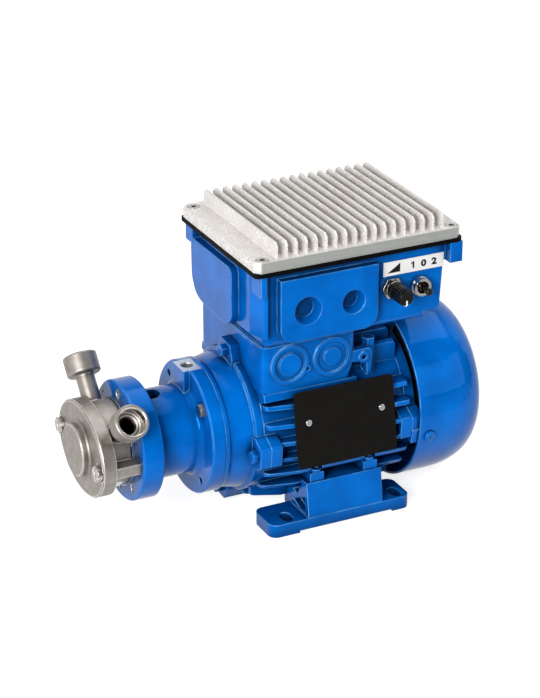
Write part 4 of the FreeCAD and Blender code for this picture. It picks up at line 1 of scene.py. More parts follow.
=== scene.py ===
# %% [markdown]
# # A flexible impeller pump with its motor and box drive
#
# The machine is a stainless pump head on a cast bracket, a small foot-mounted motor and a
# drive box with a finned lid. The solids come packed from the CAD source and are the fixed
# frame of this scene: they are never moved or cut here. This lesson gives each of them the
# finish of the real thing, adds the small printed and moulded details that the solids leave
# out, and lights the machine on a white sweep as in a product photograph.

# %% Load the frame
import json
import math

import bmesh
import bpy
from mathutils import Matrix, Vector


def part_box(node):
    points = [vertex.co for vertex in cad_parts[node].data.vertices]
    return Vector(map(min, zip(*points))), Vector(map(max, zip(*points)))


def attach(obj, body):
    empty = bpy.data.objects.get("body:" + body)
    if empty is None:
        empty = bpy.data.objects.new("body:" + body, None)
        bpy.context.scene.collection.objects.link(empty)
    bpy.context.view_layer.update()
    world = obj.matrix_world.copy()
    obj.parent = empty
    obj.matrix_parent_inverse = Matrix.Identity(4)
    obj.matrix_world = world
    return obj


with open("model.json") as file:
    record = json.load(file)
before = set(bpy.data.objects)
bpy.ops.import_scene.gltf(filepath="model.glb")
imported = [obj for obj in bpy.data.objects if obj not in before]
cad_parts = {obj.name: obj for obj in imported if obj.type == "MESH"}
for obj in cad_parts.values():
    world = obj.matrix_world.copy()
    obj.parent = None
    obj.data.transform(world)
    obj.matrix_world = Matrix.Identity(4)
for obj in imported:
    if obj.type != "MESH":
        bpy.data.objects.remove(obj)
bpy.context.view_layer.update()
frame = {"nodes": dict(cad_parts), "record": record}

nodes = frame["nodes"]
scene = bpy.context.scene
MM = 0.001

# %% [markdown]
# ## Camera
#
# The photograph was taken with a long lens from the pump's side, slightly above the machine.
# Solving for the lens and the place from known points of the motor gives a focal length of
# 126.6 mm on a 36 mm sensor, a little over 24 degrees of down tilt and no roll.

# %% Camera
LENS_MM = 126.6
SENSOR_MM = 36
CAMERA_PLACE = (-0.66871, -1.31181, 0.77085)
CAMERA_LIFT = 65.52
CAMERA_TURN = -26.06
camera = bpy.data.objects.new("camera", bpy.data.cameras.new("camera"))
scene.collection.objects.link(camera)
camera.data.lens = LENS_MM
camera.data.sensor_width = SENSOR_MM
camera.location = CAMERA_PLACE
camera.rotation_euler = (math.radians(CAMERA_LIFT), 0, math.radians(CAMERA_TURN))
scene.camera = camera
print("camera at", tuple(camera.location))

# %% [markdown]
# ## Helpers for materials
#
# Every material below is a small node tree. One function turns the hex colours that a paint
# chart uses into the linear values that a shader needs, and one function adds a node, sets
# its values and makes its links, so that each finish reads from top to bottom. The others
# are short names for the three steps that come up most: a sum, a change of span and a mix.

# %% Colour and node helpers
scene.view_settings.view_transform = "Standard"


def linear(code):
    """The linear colour of an sRGB hex code such as 0B5FBF."""
    shares = [int(code[start:start + 2], 16) / 255 for start in (0, 2, 4)]
    return [share / 12.92 if share <= 0.04045 else ((share + 0.055) / 1.055) ** 2.4
            for share in shares] + [1]


def add(tree, kind, inputs=None, **settings):
    """Add a node of a kind, with its settings, and its inputs as values or links."""
    added = tree.nodes.new(kind)
    for setting, value in settings.items():
        setattr(added, setting, value)
    for socket, value in (inputs or {}).items():
        if isinstance(value, bpy.types.NodeSocket):
            tree.links.new(value, added.inputs[socket])
        else:
            added.inputs[socket].default_value = value
    return added


def reckon(tree, operation, *values):
    """The result of one arithmetic step on sockets or numbers."""
    return add(tree, "ShaderNodeMath", dict(enumerate(values)), operation=operation).outputs[0]


def fit(tree, value, low, high, start=0.0, end=1.0):
    """A value moved from the span start to end into low to high."""
    return add(tree, "ShaderNodeMapRange", {"Value": value, "From Min": start, "From Max": end,
                                            "To Min": low, "To Max": high}).outputs[0]


def mix(tree, share, first, second):
    """Two colours mixed by a share, each a hex code or a socket."""
    first = linear(first) if isinstance(first, str) else first
    second = linear(second) if isinstance(second, str) else second
    return add(tree, "ShaderNodeMix", {"Factor": share, "A": first, "B": second},
               data_type="RGBA").outputs["Result"]


def per_mm(size):
    """The texture scale at which one feature is about this many millimetres."""
    return 1 / (size * MM)


def blank(name):
    """A new material and its empty node tree."""
    material = bpy.data.materials.new(name)
    material.use_nodes = True
    material.node_tree.nodes.clear()
    return material, material.node_tree


print("colours are shown with the", scene.view_settings.view_transform, "view transform")

# %% [markdown]
# ## White sweep and soft light
#
# The photograph shows the machine on pure white. The floor is a large sheet of paper whose
# own shading is only a part of what the camera sees: the rest is a glow that camera, mirror
# and glass rays share, so the paper is white and the shadow under the machine stays soft,
# while little light is thrown back up under the castings. The gloss of the paint mirrors the
# room: behind the machine stands the white backdrop, above it is a grey ceiling, and in
# front, where the camera stands, the mirrored paper ends a hand's length from the machine
# and the room is dim. So every round casting shows a pale band along its top, a deep blue
# middle and a lighter belly that starts at a sharp line, where the edge of the paper lies.

# %% Floor
FLOOR_HALF = 4.0
FLOOR_GLOW = 0.8
FIBRE_MM = 40
MIRRORED_SHARE = 0.7
PAPER_FRONT = -0.2


def bright_rays(tree):
    """1 for the rays that show a surface to the eye: camera, mirror and glass rays."""
    rays = add(tree, "ShaderNodeLightPath").outputs
    direct = reckon(tree, "MAXIMUM", rays["Is Camera Ray"], rays["Is Glossy Ray"])
    return reckon(tree, "MAXIMUM", direct, rays["Is Transmission Ray"])


def glossy_rays(tree):
    """1 for the rays that a glossy surface sends out to find what it mirrors."""
    return add(tree, "ShaderNodeLightPath").outputs["Is Glossy Ray"]


def paper_white():
    """Matt white background paper with a faint fibre mottle and a glow of its own."""
    material, tree = blank("white_background_paper")
    place = add(tree, "ShaderNodeTexCoord").outputs["Object"]
    fibre = add(tree, "ShaderNodeTexNoise", {"Vector": place, "Scale": per_mm(FIBRE_MM),
                                             "Detail": 3.0}).outputs["Fac"]
    paper = add(tree, "ShaderNodeBsdfDiffuse", {"Color": mix(tree, fibre, "BABABA", "BEBEBE")})
    depth = add(tree, "ShaderNodeSeparateXYZ", {0: place}).outputs["Y"]
    past_edge = reckon(tree, "LESS_THAN", depth, PAPER_FRONT)
    lost = fit(tree, past_edge, 1 - MIRRORED_SHARE, 1.0)
    lost = reckon(tree, "MULTIPLY", lost, glossy_rays(tree))
    seen = reckon(tree, "SUBTRACT", bright_rays(tree), lost)
    glow = add(tree, "ShaderNodeEmission", {"Color": linear("FFFFFF"),
                                            "Strength": reckon(tree, "MULTIPLY", seen, FLOOR_GLOW)})
    both = add(tree, "ShaderNodeAddShader", {0: paper.outputs[0], 1: glow.outputs[0]})
    add(tree, "ShaderNodeOutputMaterial", {"Surface": both.outputs[0]})
    return material


sweep = bmesh.new()
bmesh.ops.create_grid(sweep, x_segments=1, y_segments=1, size=FLOOR_HALF)
floor_mesh = bpy.data.meshes.new("floor")
sweep.to_mesh(floor_mesh)
sweep.free()
floor = bpy.data.objects.new("floor", floor_mesh)
scene.collection.objects.link(floor)
floor_mesh.materials.append(paper_white())
print("floor of", 2 * FLOOR_HALF, "m")

# %% Sky
SKY_LIGHT = 0.21
CEILING_START, CEILING_END = 0.5, 0.7
ROOM_START, ROOM_END = -0.1, -0.14
world = bpy.data.worlds.new("studio")
scene.world = world
world.use_nodes = True
sky = world.node_tree
sky.nodes.clear()
way = add(sky, "ShaderNodeTexCoord").outputs["Generated"]
way = add(sky, "ShaderNodeSeparateXYZ", {0: way}).outputs
ceiling = fit(sky, way["Z"], 0, 1, CEILING_START, CEILING_END)
in_front = fit(sky, way["Y"], 0, 1, ROOM_START, ROOM_END)
mirrored = reckon(sky, "MULTIPLY", in_front, glossy_rays(sky))
tone = mix(sky, mirrored, mix(sky, ceiling, "FFFFFF", "A0A0A0"), "4A4540")
backdrop = add(sky, "ShaderNodeBackground", {"Color": tone,
                                             "Strength": fit(sky, bright_rays(sky), SKY_LIGHT, 1.0)})
add(sky, "ShaderNodeOutputWorld", {"Surface": backdrop.outputs[0]})
print("a white backdrop, a grey ceiling and a dim room")

# %% Lamps
MACHINE_MIDDLE = (-0.03, 0, 0.1)
LAMPS = {"key_softbox": ((-1.5, -1.3, 0.85), 0.9, 50),
         "fill_softbox": ((1.3, -1.4, 0.7), 1.2, 7),
         "top_softbox": ((0.6, 0.2, 1.9), 1.8, 20)}


def softbox(name, place, size, power):
    """A square lamp of a size in metres and a power in watts, facing the machine."""
    lamp = bpy.data.lights.new(name, "AREA")
    lamp.size = size
    lamp.energy = power
    stand = bpy.data.objects.new(name, lamp)
    stand.location = place
    aim = Vector(MACHINE_MIDDLE) - Vector(place)
    stand.rotation_euler = aim.to_track_quat("-Z", "Y").to_euler()
    scene.collection.objects.link(stand)


for name, (place, size, power) in LAMPS.items():
    softbox(name, place, size, power)
print("lamps:", ", ".join(LAMPS))

# %% [markdown]
# ## Start of every finish
#
# Real castings, screws and mouldings have no perfectly sharp edges. The Bevel node gives the
# shader a normal that turns over a small radius at each edge, and comparing it with the true
# normal also tells where the edges are, where the finishes paint a lighter line as a painted
# highlight. Edges that look up and towards the pump's side, where the lamps stand, get a mask
# of their own for a brighter painted highlight, and an ambient occlusion node finds hollows
# and seams, which the finishes paint darker as painted shade. Each finish starts from this
# and adds its own grain, and the masks for single places, such as a bored port, come from
# distances to lines and planes of the machine.

# %% Base of a finish
SHAFT_LEVEL = 63 * MM
SHADER_SAMPLES = 6
EDGE_SPAN = (0.995, 0.85)
# The lit edges that get a brighter painted highlight look this way, the next span sets that mask, and
# the last span sets the painted shade mask of hollows.
LIT_EDGE_SIDE = (-0.56, -0.58, 0.59)
LIT_EDGE_SPAN = (0.62, 0.97)
HOLLOW_SHADE_SPAN = (0.3, 0.92)
WAVE_SWING = 20


class Finish:
    """A material under construction: its tree, its place on the piece and its edges."""

    def __init__(self, name, edge_mm):
        self.material, self.tree = blank(name)
        self.place = add(self.tree, "ShaderNodeTexCoord").outputs["Object"]
        self.normal = add(self.tree, "ShaderNodeBevel", {"Radius": edge_mm * MM},
                          samples=SHADER_SAMPLES).outputs[0]
        flat = add(self.tree, "ShaderNodeNewGeometry").outputs["Normal"]
        turn = self.vector("DOT_PRODUCT", self.normal, flat)["Value"]
        self.edge = self.fit(turn, 0, 1, *EDGE_SPAN)

    def vector(self, operation, *values):
        """The outputs of one step on vectors: Vector, or Value where it gives a number."""
        return add(self.tree, "ShaderNodeVectorMath", dict(enumerate(values)),
                   operation=operation).outputs

    def fit(self, value, low, high, start=0.0, end=1.0):
        """A value moved from the span start to end into low to high."""
        return fit(self.tree, value, low, high, start, end)

    def blend(self, first, second, share):
        """Two colours mixed by a share, each a hex code or a socket."""
        return mix(self.tree, share, first, second)

    def between(self, first, second, share):
        """Two numbers mixed by a share."""
        return add(self.tree, "ShaderNodeMix", {0: share, 2: first, 3: second},
                   data_type="FLOAT").outputs[0]

    def noise(self, size, detail=2.0, stretch=None):
        """Noise with features of a size in millimetres, or drawn out by three factors."""
        place = self.place
        if stretch:
            place = add(self.tree, "ShaderNodeMapping", {"Vector": place, "Scale": stretch}).outputs[0]
        return add(self.tree, "ShaderNodeTexNoise", {"Vector": place, "Scale": per_mm(size),
                                                     "Detail": detail}).outputs["Fac"]

    def waves(self, crest_mm, inputs=None, **settings):
        """A wave texture whose crests are about this many millimetres apart."""
        scale = 2 * math.pi * per_mm(crest_mm) / WAVE_SWING
        return add(self.tree, "ShaderNodeTexWave", {"Vector": self.place, "Scale": scale,
                                                    **(inputs or {})}, **settings).outputs["Fac"]

    def lit_edge(self):
        """1 along the edges that look up and to the pump's side, towards the lamps, where a painted
        highlight goes; asked for before any bump.
        """
        facing = self.vector("DOT_PRODUCT", self.normal, LIT_EDGE_SIDE)["Value"]
        return self.both(self.edge, self.fit(facing, 0, 1, *LIT_EDGE_SPAN))

    def hollow_shade(self, reach_mm):
        """1 deep in hollows and seams, 0 on open faces, judged within a reach in millimetres: where
        painted shade goes.
        """
        open_share = add(self.tree, "ShaderNodeAmbientOcclusion", {"Distance": reach_mm * MM},
                         samples=SHADER_SAMPLES).outputs["AO"]
        return self.fit(open_share, 1, 0, *HOLLOW_SHADE_SPAN)

    def along(self, axis):
        """The place along one axis, X, Y or Z."""
        return add(self.tree, "ShaderNodeSeparateXYZ", {0: self.place}).outputs[axis]

    def off_middle(self):
        """The distance from the machine's middle plane, to the near or the far side."""
        return reckon(self.tree, "ABSOLUTE", self.along("Y"))

    def radius(self):
        """The distance from the shaft's axis."""
        apart = self.vector("SUBTRACT", self.place, (0, 0, SHAFT_LEVEL))["Vector"]
        across = self.vector("MULTIPLY", apart, (0, 1, 1))["Vector"]
        return self.vector("LENGTH", across)["Value"]

    def below(self, value, limit):
        """1 where a value is below a limit."""
        return reckon(self.tree, "LESS_THAN", value, limit)

    def above(self, value, limit):
        """1 where a value is above a limit."""
        return reckon(self.tree, "GREATER_THAN", value, limit)

    def either(self, first, second):
        """1 where one of two masks is 1."""
        return reckon(self.tree, "MAXIMUM", first, second)

    def both(self, first, second):
        """1 where both of two masks are 1."""
        return reckon(self.tree, "MULTIPLY", first, second)

    def near_line(self, point, way, radius):
        """1 inside a radius of the line through a point along a unit direction."""
        apart = self.vector("SUBTRACT", self.place, point)["Vector"]
        across = self.vector("CROSS_PRODUCT", apart, way)["Vector"]
        return self.below(self.vector("LENGTH", across)["Value"], radius)

    def raise_by(self, height, depth_mm):
        """Bump the surface by a height pattern of a depth in millimetres."""
        self.normal = add(self.tree, "ShaderNodeBump", {"Height": height, "Distance": depth_mm * MM,
                                                        "Normal": self.normal}).outputs[0]

    def done(self, colour, roughness, **values):
        """Close the material with the Principled shader."""
        names = {"metallic": "Metallic", "coat": "Coat Weight", "ior": "IOR",
                 "specular": "Specular IOR Level", "tint": "Specular Tint"}
        inputs = {"Base Color": colour, "Roughness": roughness, "Normal": self.normal}
        inputs.update({names[key]: value for key, value in values.items()})
        shader = add(self.tree, "ShaderNodeBsdfPrincipled", inputs)
        add(self.tree, "ShaderNodeOutputMaterial", {"Surface": shader.outputs[0]})
        return self.material


def dress(material, *names):
    """Give a material to CAD nodes."""
    for name in names:
        mesh = nodes[name].data
        mesh.materials.clear()
        mesh.materials.append(material)
    print(material.name, "on", ", ".join(names))


# The edges that look this way get a brighter painted highlight.
print("edges rubbed most look towards", LIT_EDGE_SIDE)

# %% [markdown]
# ## Blue enamel on castings
#
# The motor, bracket and drive housing are aluminium castings under one thick coat of blue
# machine enamel. The paint fills most of the casting skin, so only a slow swell of a
# millimetre or two and an orange peel of a few millimetres are left, and the gloss is hard.
# The lamps draw bright lines on its rounded edges, and the colour there is also painted
# lighter as a painted highlight, brighter and broken by noise on the edges that look up
# towards the lamps. Corners and recesses are painted darker as painted shade, which an
# ambient occlusion node finds twice, once with a long reach and once with a short one. Its
# mirror shine is tinted blue at a straight look and turns white at a grazing one.

# %% Cast and pressed enamel
DEEP_BLUE = "005AB0"
FULL_BLUE = "006DCE"
# The next two colours are painted highlights along edges, and the third is painted shade in corners
# and recesses.
EDGE_HIGHLIGHT_BLUE = "4FA8F2"
PAINTED_HIGHLIGHT_BLUE = "8CCFFF"
PAINTED_SHADE_BLUE = "001638"
SHINE_BLUE = "3C9CF4"
ENAMEL_IOR = 1.5
ENAMEL_EDGE_MM = 1.3
CAST_SKIN_MM, SHEET_SKIN_MM = 0.03, 0.008
SWELL_MM = 1.8
PEEL_MM, PEEL_DEPTH_MM = 5, 0.03
PATCH_MM, HIGHLIGHT_BREAK_MM = 22, 12
# Reaches of the ambient occlusion that places the painted shade.
CORNER_SHADE_REACH_MM, SEAM_SHADE_REACH_MM = 45, 9


def enamel_finish(name, skin_depth, gloss=(0.06, 0.12), recess=0.9):
    """Blue enamel over a skin whose swell has a depth in millimetres, with painted edge highlights and
    shade.
    """
    paint = Finish(name, ENAMEL_EDGE_MM)
    lit_edge = paint.lit_edge()
    swell = paint.noise(SWELL_MM)
    paint.raise_by(swell, skin_depth)
    paint.raise_by(paint.noise(PEEL_MM, 1.0), PEEL_DEPTH_MM)
    tone = paint.blend(DEEP_BLUE, FULL_BLUE, paint.fit(paint.noise(PATCH_MM), 0, 1, 0.3, 0.7))
    # Painted shade in corners, recesses and seams, found by ambient occlusion at two reaches.
    tone = paint.blend(tone, PAINTED_SHADE_BLUE, paint.fit(paint.hollow_shade(CORNER_SHADE_REACH_MM), 0, 0.5))
    tone = paint.blend(tone, PAINTED_SHADE_BLUE, paint.fit(paint.hollow_shade(SEAM_SHADE_REACH_MM), 0, recess))
    # Painted highlights: a light line along every edge and a brighter, broken one on edges that look
    # up towards the lamps.
    tone = paint.blend(tone, EDGE_HIGHLIGHT_BLUE, paint.fit(paint.edge, 0, 0.2))
    highlight_breaks = paint.fit(paint.noise(HIGHLIGHT_BREAK_MM, 3.0), 0.15, 0.75, 0.4, 0.6)
    tone = paint.blend(tone, PAINTED_HIGHLIGHT_BLUE, paint.both(lit_edge, highlight_breaks))
    return paint, tone, paint.fit(swell, *gloss, 0.3, 0.7)


def close_enamel(name, skin_depth, **looks):
    """The finished enamel of a piece that is painted all over."""
    paint, tone, shine = enamel_finish(name, skin_depth, **looks)
    return paint.done(tone, shine, ior=ENAMEL_IOR, tint=linear(SHINE_BLUE))


dress(close_enamel("blue_enamel_on_casting", CAST_SKIN_MM), "drive_end_shield", "motor_frame",
      "near_foot", "far_foot", "fan_end_shield", "shield_bolts", "foot_screws", "cowl_screws")
dress(close_enamel("blue_enamel_on_sheet", SHEET_SKIN_MM, gloss=(0.03, 0.07)), "fan_cowl")
dress(close_enamel("blue_enamel_over_seam", CAST_SKIN_MM, recess=0.2), "base_gasket")
dress(close_enamel("blue_enamel_on_terminal_base", CAST_SKIN_MM, recess=0.6), "terminal_base")

# %% [markdown]
# ## Drive box
#
# The blind cable entries of the drive box are shallow cups. Their floors are painted darker
# than their rims, as painted shade. The mask for it is a round bar through each entry, cut off
# at the depth of the floor.

# %% Drive box enamel
ENTRY_LEVEL = 155 * MM
ENTRY_FLOOR = 49.3 * MM
ENTRY_PLACES = [(-27.5, 6.5), (4.9, 5.2)]  # along the shaft and radius, in millimetres
ENTRY_FLOOR_SHADE = 0.65


def box_enamel():
    """Enamel of the drive box, with painted shade on the floors of its entries."""
    paint, tone, shine = enamel_finish("blue_enamel_on_box", CAST_SKIN_MM, recess=0.6)
    shaded_floors = 0.0
    for along, radius in ENTRY_PLACES:
        centre = (along * MM, 0, ENTRY_LEVEL)
        shaded_floors = paint.either(paint.near_line(centre, (0, 1, 0), radius * MM), shaded_floors)
    shaded_floors = paint.both(shaded_floors, paint.below(paint.off_middle(), ENTRY_FLOOR))
    # Painted shade on the floors of the entries.
    tone = paint.blend(tone, PAINTED_SHADE_BLUE, paint.fit(shaded_floors, 0, ENTRY_FLOOR_SHADE))
    return paint.done(tone, shine, ior=ENAMEL_IOR, tint=linear(SHINE_BLUE))


dress(box_enamel(), "drive_housing")

# %% [markdown]
# ## Bracket with bare machined spots
#
# On the bracket the pad on top is faced after painting and its hole is drilled, and the holes
# in the pump flange are reamed, so all of them show bright aluminium. The inside of the
# lantern is painted nearly black as painted shade. The paint material gets masks for these
# places, worked out from their known positions, in place of more pieces.

# %% Bracket enamel
PAD_TOP = 106.6 * MM
PAD_HOLE = (-86.8 * MM, 0, 0)
PAD_HOLE_RADIUS = 4.4 * MM
FACING_MARGIN = 0.05 * MM
SHADED_LANTERN_RADIUS = 24.9 * MM
BARE_ROUGHNESS = 0.38
FLANGE_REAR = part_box("bracket")[0].x + 14.6 * MM
REAMED_MARGIN = 0.08
# Angle in degrees, circle radius and hole radius in millimetres.
REAMED_HOLES = [(91, 32.6, 3.2), (-52, 32.6, 3.2), (136, 34.2, 1.8), (-92, 34.2, 1.8)]


def bracket_enamel():
    """Enamel with the faced pad, its hole and the reamed holes left bare, and painted shade inside the
    lantern.
    """
    paint, tone, shine = enamel_finish("blue_enamel_with_bare_seats", CAST_SKIN_MM)
    height = paint.along("Z")
    faced = paint.above(height, PAD_TOP - FACING_MARGIN)
    drilled = paint.both(paint.near_line(PAD_HOLE, (0, 0, 1), PAD_HOLE_RADIUS),
                         paint.above(height, SHAFT_LEVEL))
    bare = paint.either(faced, drilled)
    in_flange = paint.below(paint.along("X"), FLANGE_REAR)
    for angle, circle, radius in REAMED_HOLES:
        turn = math.radians(angle)
        centre = (0, -circle * MM * math.cos(turn), SHAFT_LEVEL + circle * MM * math.sin(turn))
        hole = paint.near_line(centre, (1, 0, 0), (radius + REAMED_MARGIN) * MM)
        bare = paint.either(bare, paint.both(hole, in_flange))
    metal = paint.blend("E2E0DC", "FCFBF9", paint.noise(0.5, stretch=(6, 1, 1)))
    # Painted shade: the inside of the lantern is painted nearly black.
    tone = paint.blend(tone, "05080E", paint.below(paint.radius(), SHADED_LANTERN_RADIUS))
    tone = paint.blend(tone, metal, bare)
    shine = paint.between(shine, BARE_ROUGHNESS, bare)
    return paint.done(tone, shine, ior=ENAMEL_IOR, tint=linear(SHINE_BLUE), metallic=bare)


dress(bracket_enamel(), "bracket")

# %% [markdown]
# ## Cast metals
#
# The pump head is investment cast stainless steel, blasted to a satin skin with a slow
# blotchy tone. Its grain is really about a third of a millimetre, and is drawn twice as
# coarse so that it shows at this distance. The ports are bored bright, its edges carry a
# painted highlight and its hollows painted shade. The lid of the drive is die cast aluminium
# with a sandy skin, also drawn coarse. It is tumbled and milled along its two long sides, and
# its fin edges carry a near-white painted highlight and its hollows a little painted shade.

# %% Cast metals
PORTS = [mount for mount in frame["record"]["mounts"] if mount["name"] in ("near_port", "far_port")]
PORT_BORE_RADIUS = 9.3 * MM
PORT_THROAT_RADIUS = 5.9 * MM
PORT_FLOOR = 50.5 * MM  # from the shaft's axis
BORED_ROUGHNESS = 0.16
STAINLESS_GRAIN_MM = 0.7
SINK_GRAIN_MM = 1.1
SINK_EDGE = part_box("heat_sink")[1].y - 0.5 * MM


def blasted_stainless():
    """Warm grey satin stainless, bright where the ports are bored, with painted edge highlights and
    shade.
    """
    metal = Finish("blasted_stainless_casting", 1.1)
    grain = metal.noise(STAINLESS_GRAIN_MM, 3.0)
    metal.raise_by(grain, 0.03)
    tone = metal.blend("928C85", "ACA69F", metal.fit(metal.noise(6, 3.0), 0, 1, 0.25, 0.75))
    # Painted shade in the hollows and a painted highlight along the edges.
    tone = metal.blend(tone, "3A342F", metal.fit(metal.hollow_shade(4), 0, 0.85))
    tone = metal.blend(tone, "FFFCF8", metal.fit(metal.edge, 0, 1, 0, 0.5))
    bored = 0.0
    for port in PORTS:
        mouth = metal.near_line(port["pos_m"], port["axis"], PORT_BORE_RADIUS)
        mouth = metal.both(mouth, metal.above(metal.radius(), PORT_FLOOR))
        throat = metal.near_line(port["pos_m"], port["axis"], PORT_THROAT_RADIUS)
        bored = metal.either(metal.either(mouth, throat), bored)
    tone = metal.blend(tone, "E0DBD5", bored)
    rough = metal.between(metal.fit(grain, 0.38, 0.54), BORED_ROUGHNESS, bored)
    return metal.done(tone, rough, metallic=1.0)


def scuffed_stainless():
    """Bright stainless screws with scuffed heads."""
    metal = Finish("scuffed_stainless_screw", 0.3)
    scuffs = metal.noise(1.2, 4.0)
    metal.raise_by(scuffs, 0.05)
    tone = metal.blend("9A938C", "D8D3CD", metal.fit(scuffs, 0, 1, 0.35, 0.65))
    # A painted highlight along the edges.
    tone = metal.blend(tone, "FFFCF8", metal.fit(metal.edge, 0, 0.7))
    return metal.done(tone, metal.fit(scuffs, 0.24, 0.4), metallic=1.0)


def tumbled_aluminium():
    """Pale casting with a sandy skin, painted edge highlights and shade, and two milled long sides."""
    metal = Finish("tumbled_aluminium_casting", 0.35)
    grain = metal.noise(SINK_GRAIN_MM, 4.0)
    metal.raise_by(grain, 0.14)
    speckle = metal.noise(SINK_GRAIN_MM, 3.0)
    tone = metal.blend("CFCAC5", "FAF8F6", metal.fit(speckle, 0, 1, 0.36, 0.64))
    tone = metal.blend(tone, "D8D2CE", metal.fit(metal.noise(16, 3.0), 0, 0.6, 0.45, 0.7))
    # Painted shade in the hollows.
    tone = metal.blend(tone, "8E8983", metal.fit(metal.hollow_shade(10), 0, 0.1))
    milled = metal.above(metal.off_middle(), SINK_EDGE)
    streaks = metal.noise(0.6, 3.0, stretch=(0.08, 1, 1))
    tone = metal.blend(tone, metal.blend("8F928F", "AEB0AC", streaks), milled)
    # A near-white painted highlight along the edges.
    tone = metal.blend(tone, "FFFFFE", metal.fit(metal.edge, 0, 0.9))
    return metal.done(tone, metal.fit(grain, 0.45, 0.62), metallic=0.2)


dress(blasted_stainless(), "pump_cover", "pump_body")
dress(scuffed_stainless(), "cover_screws")
dress(tumbled_aluminium(), "heat_sink")

# %% [markdown]
# ## Turned and plated metals
#
# Turned steel shows rings across its axis, drawn two millimetres apart and very shallow, with
# a little wander. Plated screws, the brass parts of the controls and the aluminium rivets
# come from the same recipe with their own tones and gloss.

# %% Turned, plated and ground metals
RING_DEPTH_MM = 0.006
SHINIER, DULLER = -0.05, 0.06


def turned_metal(name, dark, bright, roughness, ring_mm=2.2, axis="X"):
    """Metal turned on a lathe: fine rings along its axis."""
    metal = Finish(name, 0.25)
    rings = metal.waves(ring_mm, {"Distortion": 2.0, "Detail": 2.0}, bands_direction=axis)
    metal.raise_by(rings, RING_DEPTH_MM)
    tone = metal.blend(dark, bright, metal.noise(2.5, 3.0))
    # A painted highlight along the edges.
    tone = metal.blend(tone, bright, metal.fit(metal.edge, 0, 0.7))
    return metal.done(tone, metal.fit(rings, roughness + SHINIER, roughness + DULLER), metallic=1.0)


dress(turned_metal("turned_steel", "9C9C9C", "D0D0CF", 0.3), "pump_shaft", "impeller_key",
      "back_plate", "motor_shaft", "shaft_key")
dress(turned_metal("ground_bearing_steel", "A8A9AC", "DADBDD", 0.18), "front_bearing", "rear_bearing")
dress(turned_metal("zinc_plated_steel", "A3A19B", "CFCDC6", 0.32, axis="Z"), "set_screw", "fan_clip",
      "base_screws", "housing_screws", "heat_sink_screws", "board_screws", "potentiometer")
dress(turned_metal("dull_zinc_plated_steel", "8C867C", "BDB7AC", 0.34), "bracket_bolts")
dress(turned_metal("nickel_plated_brass", "B5B1AA", "E4E1DC", 0.16, axis="Y"), "pot_nut",
      "knob_collar", "toggle_switch", "toggle_nut")
dress(turned_metal("aluminium_rivet", "BEBEBE", "EDEDED", 0.3, axis="Y"), "nameplate_rivets")
dress(turned_metal("brass_stud", "A8864A", "D2B26E", 0.28, axis="Z"), "terminal_studs")
dress(turned_metal("sintered_bronze", "7E5F38", "A8834E", 0.45, ring_mm=5.03), "cover_bush")

# %% [markdown]
# ## Steel stack and windings
#
# The stator and rotor are stacks of thin sheets. Their lines across the shaft are drawn three
# millimetres apart, wider than the real sheets, so that they can be told apart. The winding
# heads are varnished copper, with broad curved bands that stand for the bundles of wire.

# %% Laminations and copper
def laminated_steel():
    """Dark sheet steel in layers across the shaft."""
    metal = Finish("laminated_electrical_steel", 0.2)
    layers = metal.waves(3.14, bands_direction="X")
    metal.raise_by(layers, 0.05)
    tone = metal.blend("45474A", "707276", layers)
    return metal.done(tone, metal.fit(metal.noise(2), 0.38, 0.52), metallic=1.0)


def varnished_copper():
    """Bundles of wire under brown varnish."""
    wire = Finish("varnished_copper_wire", 0.3)
    bundles = wire.waves(6.91, {"Distortion": 1.5}, wave_type="RINGS", rings_direction="X")
    wire.raise_by(bundles, 0.25)
    tone = wire.blend("6E3A1C", "B26A36", bundles)
    return wire.done(tone, 0.3, metallic=0.7, coat=0.5)


dress(laminated_steel(), "stator_core", "rotor_core")
dress(varnished_copper(), "stator_windings")

# %% [markdown]
# ## Rubber and plastics
#
# Gaskets and the impeller are black nitrile rubber: matt, with a fine moulded grain. Knob,
# toggle and fan are moulded plastic, smoother and with a soft sheen. The nameplate is thin
# aluminium anodised black, and the label is pale printed polyester.

# %% Rubber and plastics
MOULDED_EDGE_MM = 0.3
SHEEN_SWING = 0.06
PATCHES_PER_GRAIN = 8


def moulded(name, dark, pale, roughness, grain_mm, depth_mm, **values):
    """A moulded piece: two near tones, a grain and an even sheen."""
    stuff = Finish(name, MOULDED_EDGE_MM)
    grain = stuff.noise(grain_mm, 3.0)
    stuff.raise_by(grain, depth_mm)
    tone = stuff.blend(dark, pale, stuff.noise(grain_mm * PATCHES_PER_GRAIN))
    # A painted highlight along the edges.
    tone = stuff.blend(tone, pale, stuff.fit(stuff.edge, 0, 0.8))
    sheen = stuff.fit(grain, roughness - SHEEN_SWING, roughness + SHEEN_SWING)
    return stuff.done(tone, sheen, **values)


dress(moulded("black_nitrile_rubber", "030303", "0A0909", 0.6, 0.5, 0.03, specular=0.06),
      "cover_gasket", "body_gasket", "impeller", "shaft_seal", "slinger", "box_gasket")
dress(moulded("black_knob_plastic", "040404", "1A1917", 0.2, 0.4, 0.01, specular=0.25), "knob")
dress(moulded("glossy_lever_plastic", "040404", "141312", 0.12, 0.6, 0.005, specular=0.4),
      "toggle_lever")
dress(moulded("black_fan_plastic", "101113", "1D1F22", 0.5, 0.8, 0.03), "cooling_fan")
dress(moulded("anodised_black_plate", "141312", "1C1B1A", 0.3, 0.35, 0.006, specular=0.03),
      "nameplate")
dress(moulded("grey_polyester_label", "E4E4E3", "EEEDEC", 0.42, 0.6, 0.006, specular=0.3),
      "control_label")
dress(moulded("brown_bakelite", "2A1A12", "3B261A", 0.35, 0.6, 0.01), "terminal_block")
dress(moulded("green_board_lacquer", "0F4A2A", "1A6239", 0.3, 1.2, 0.02), "circuit_board")
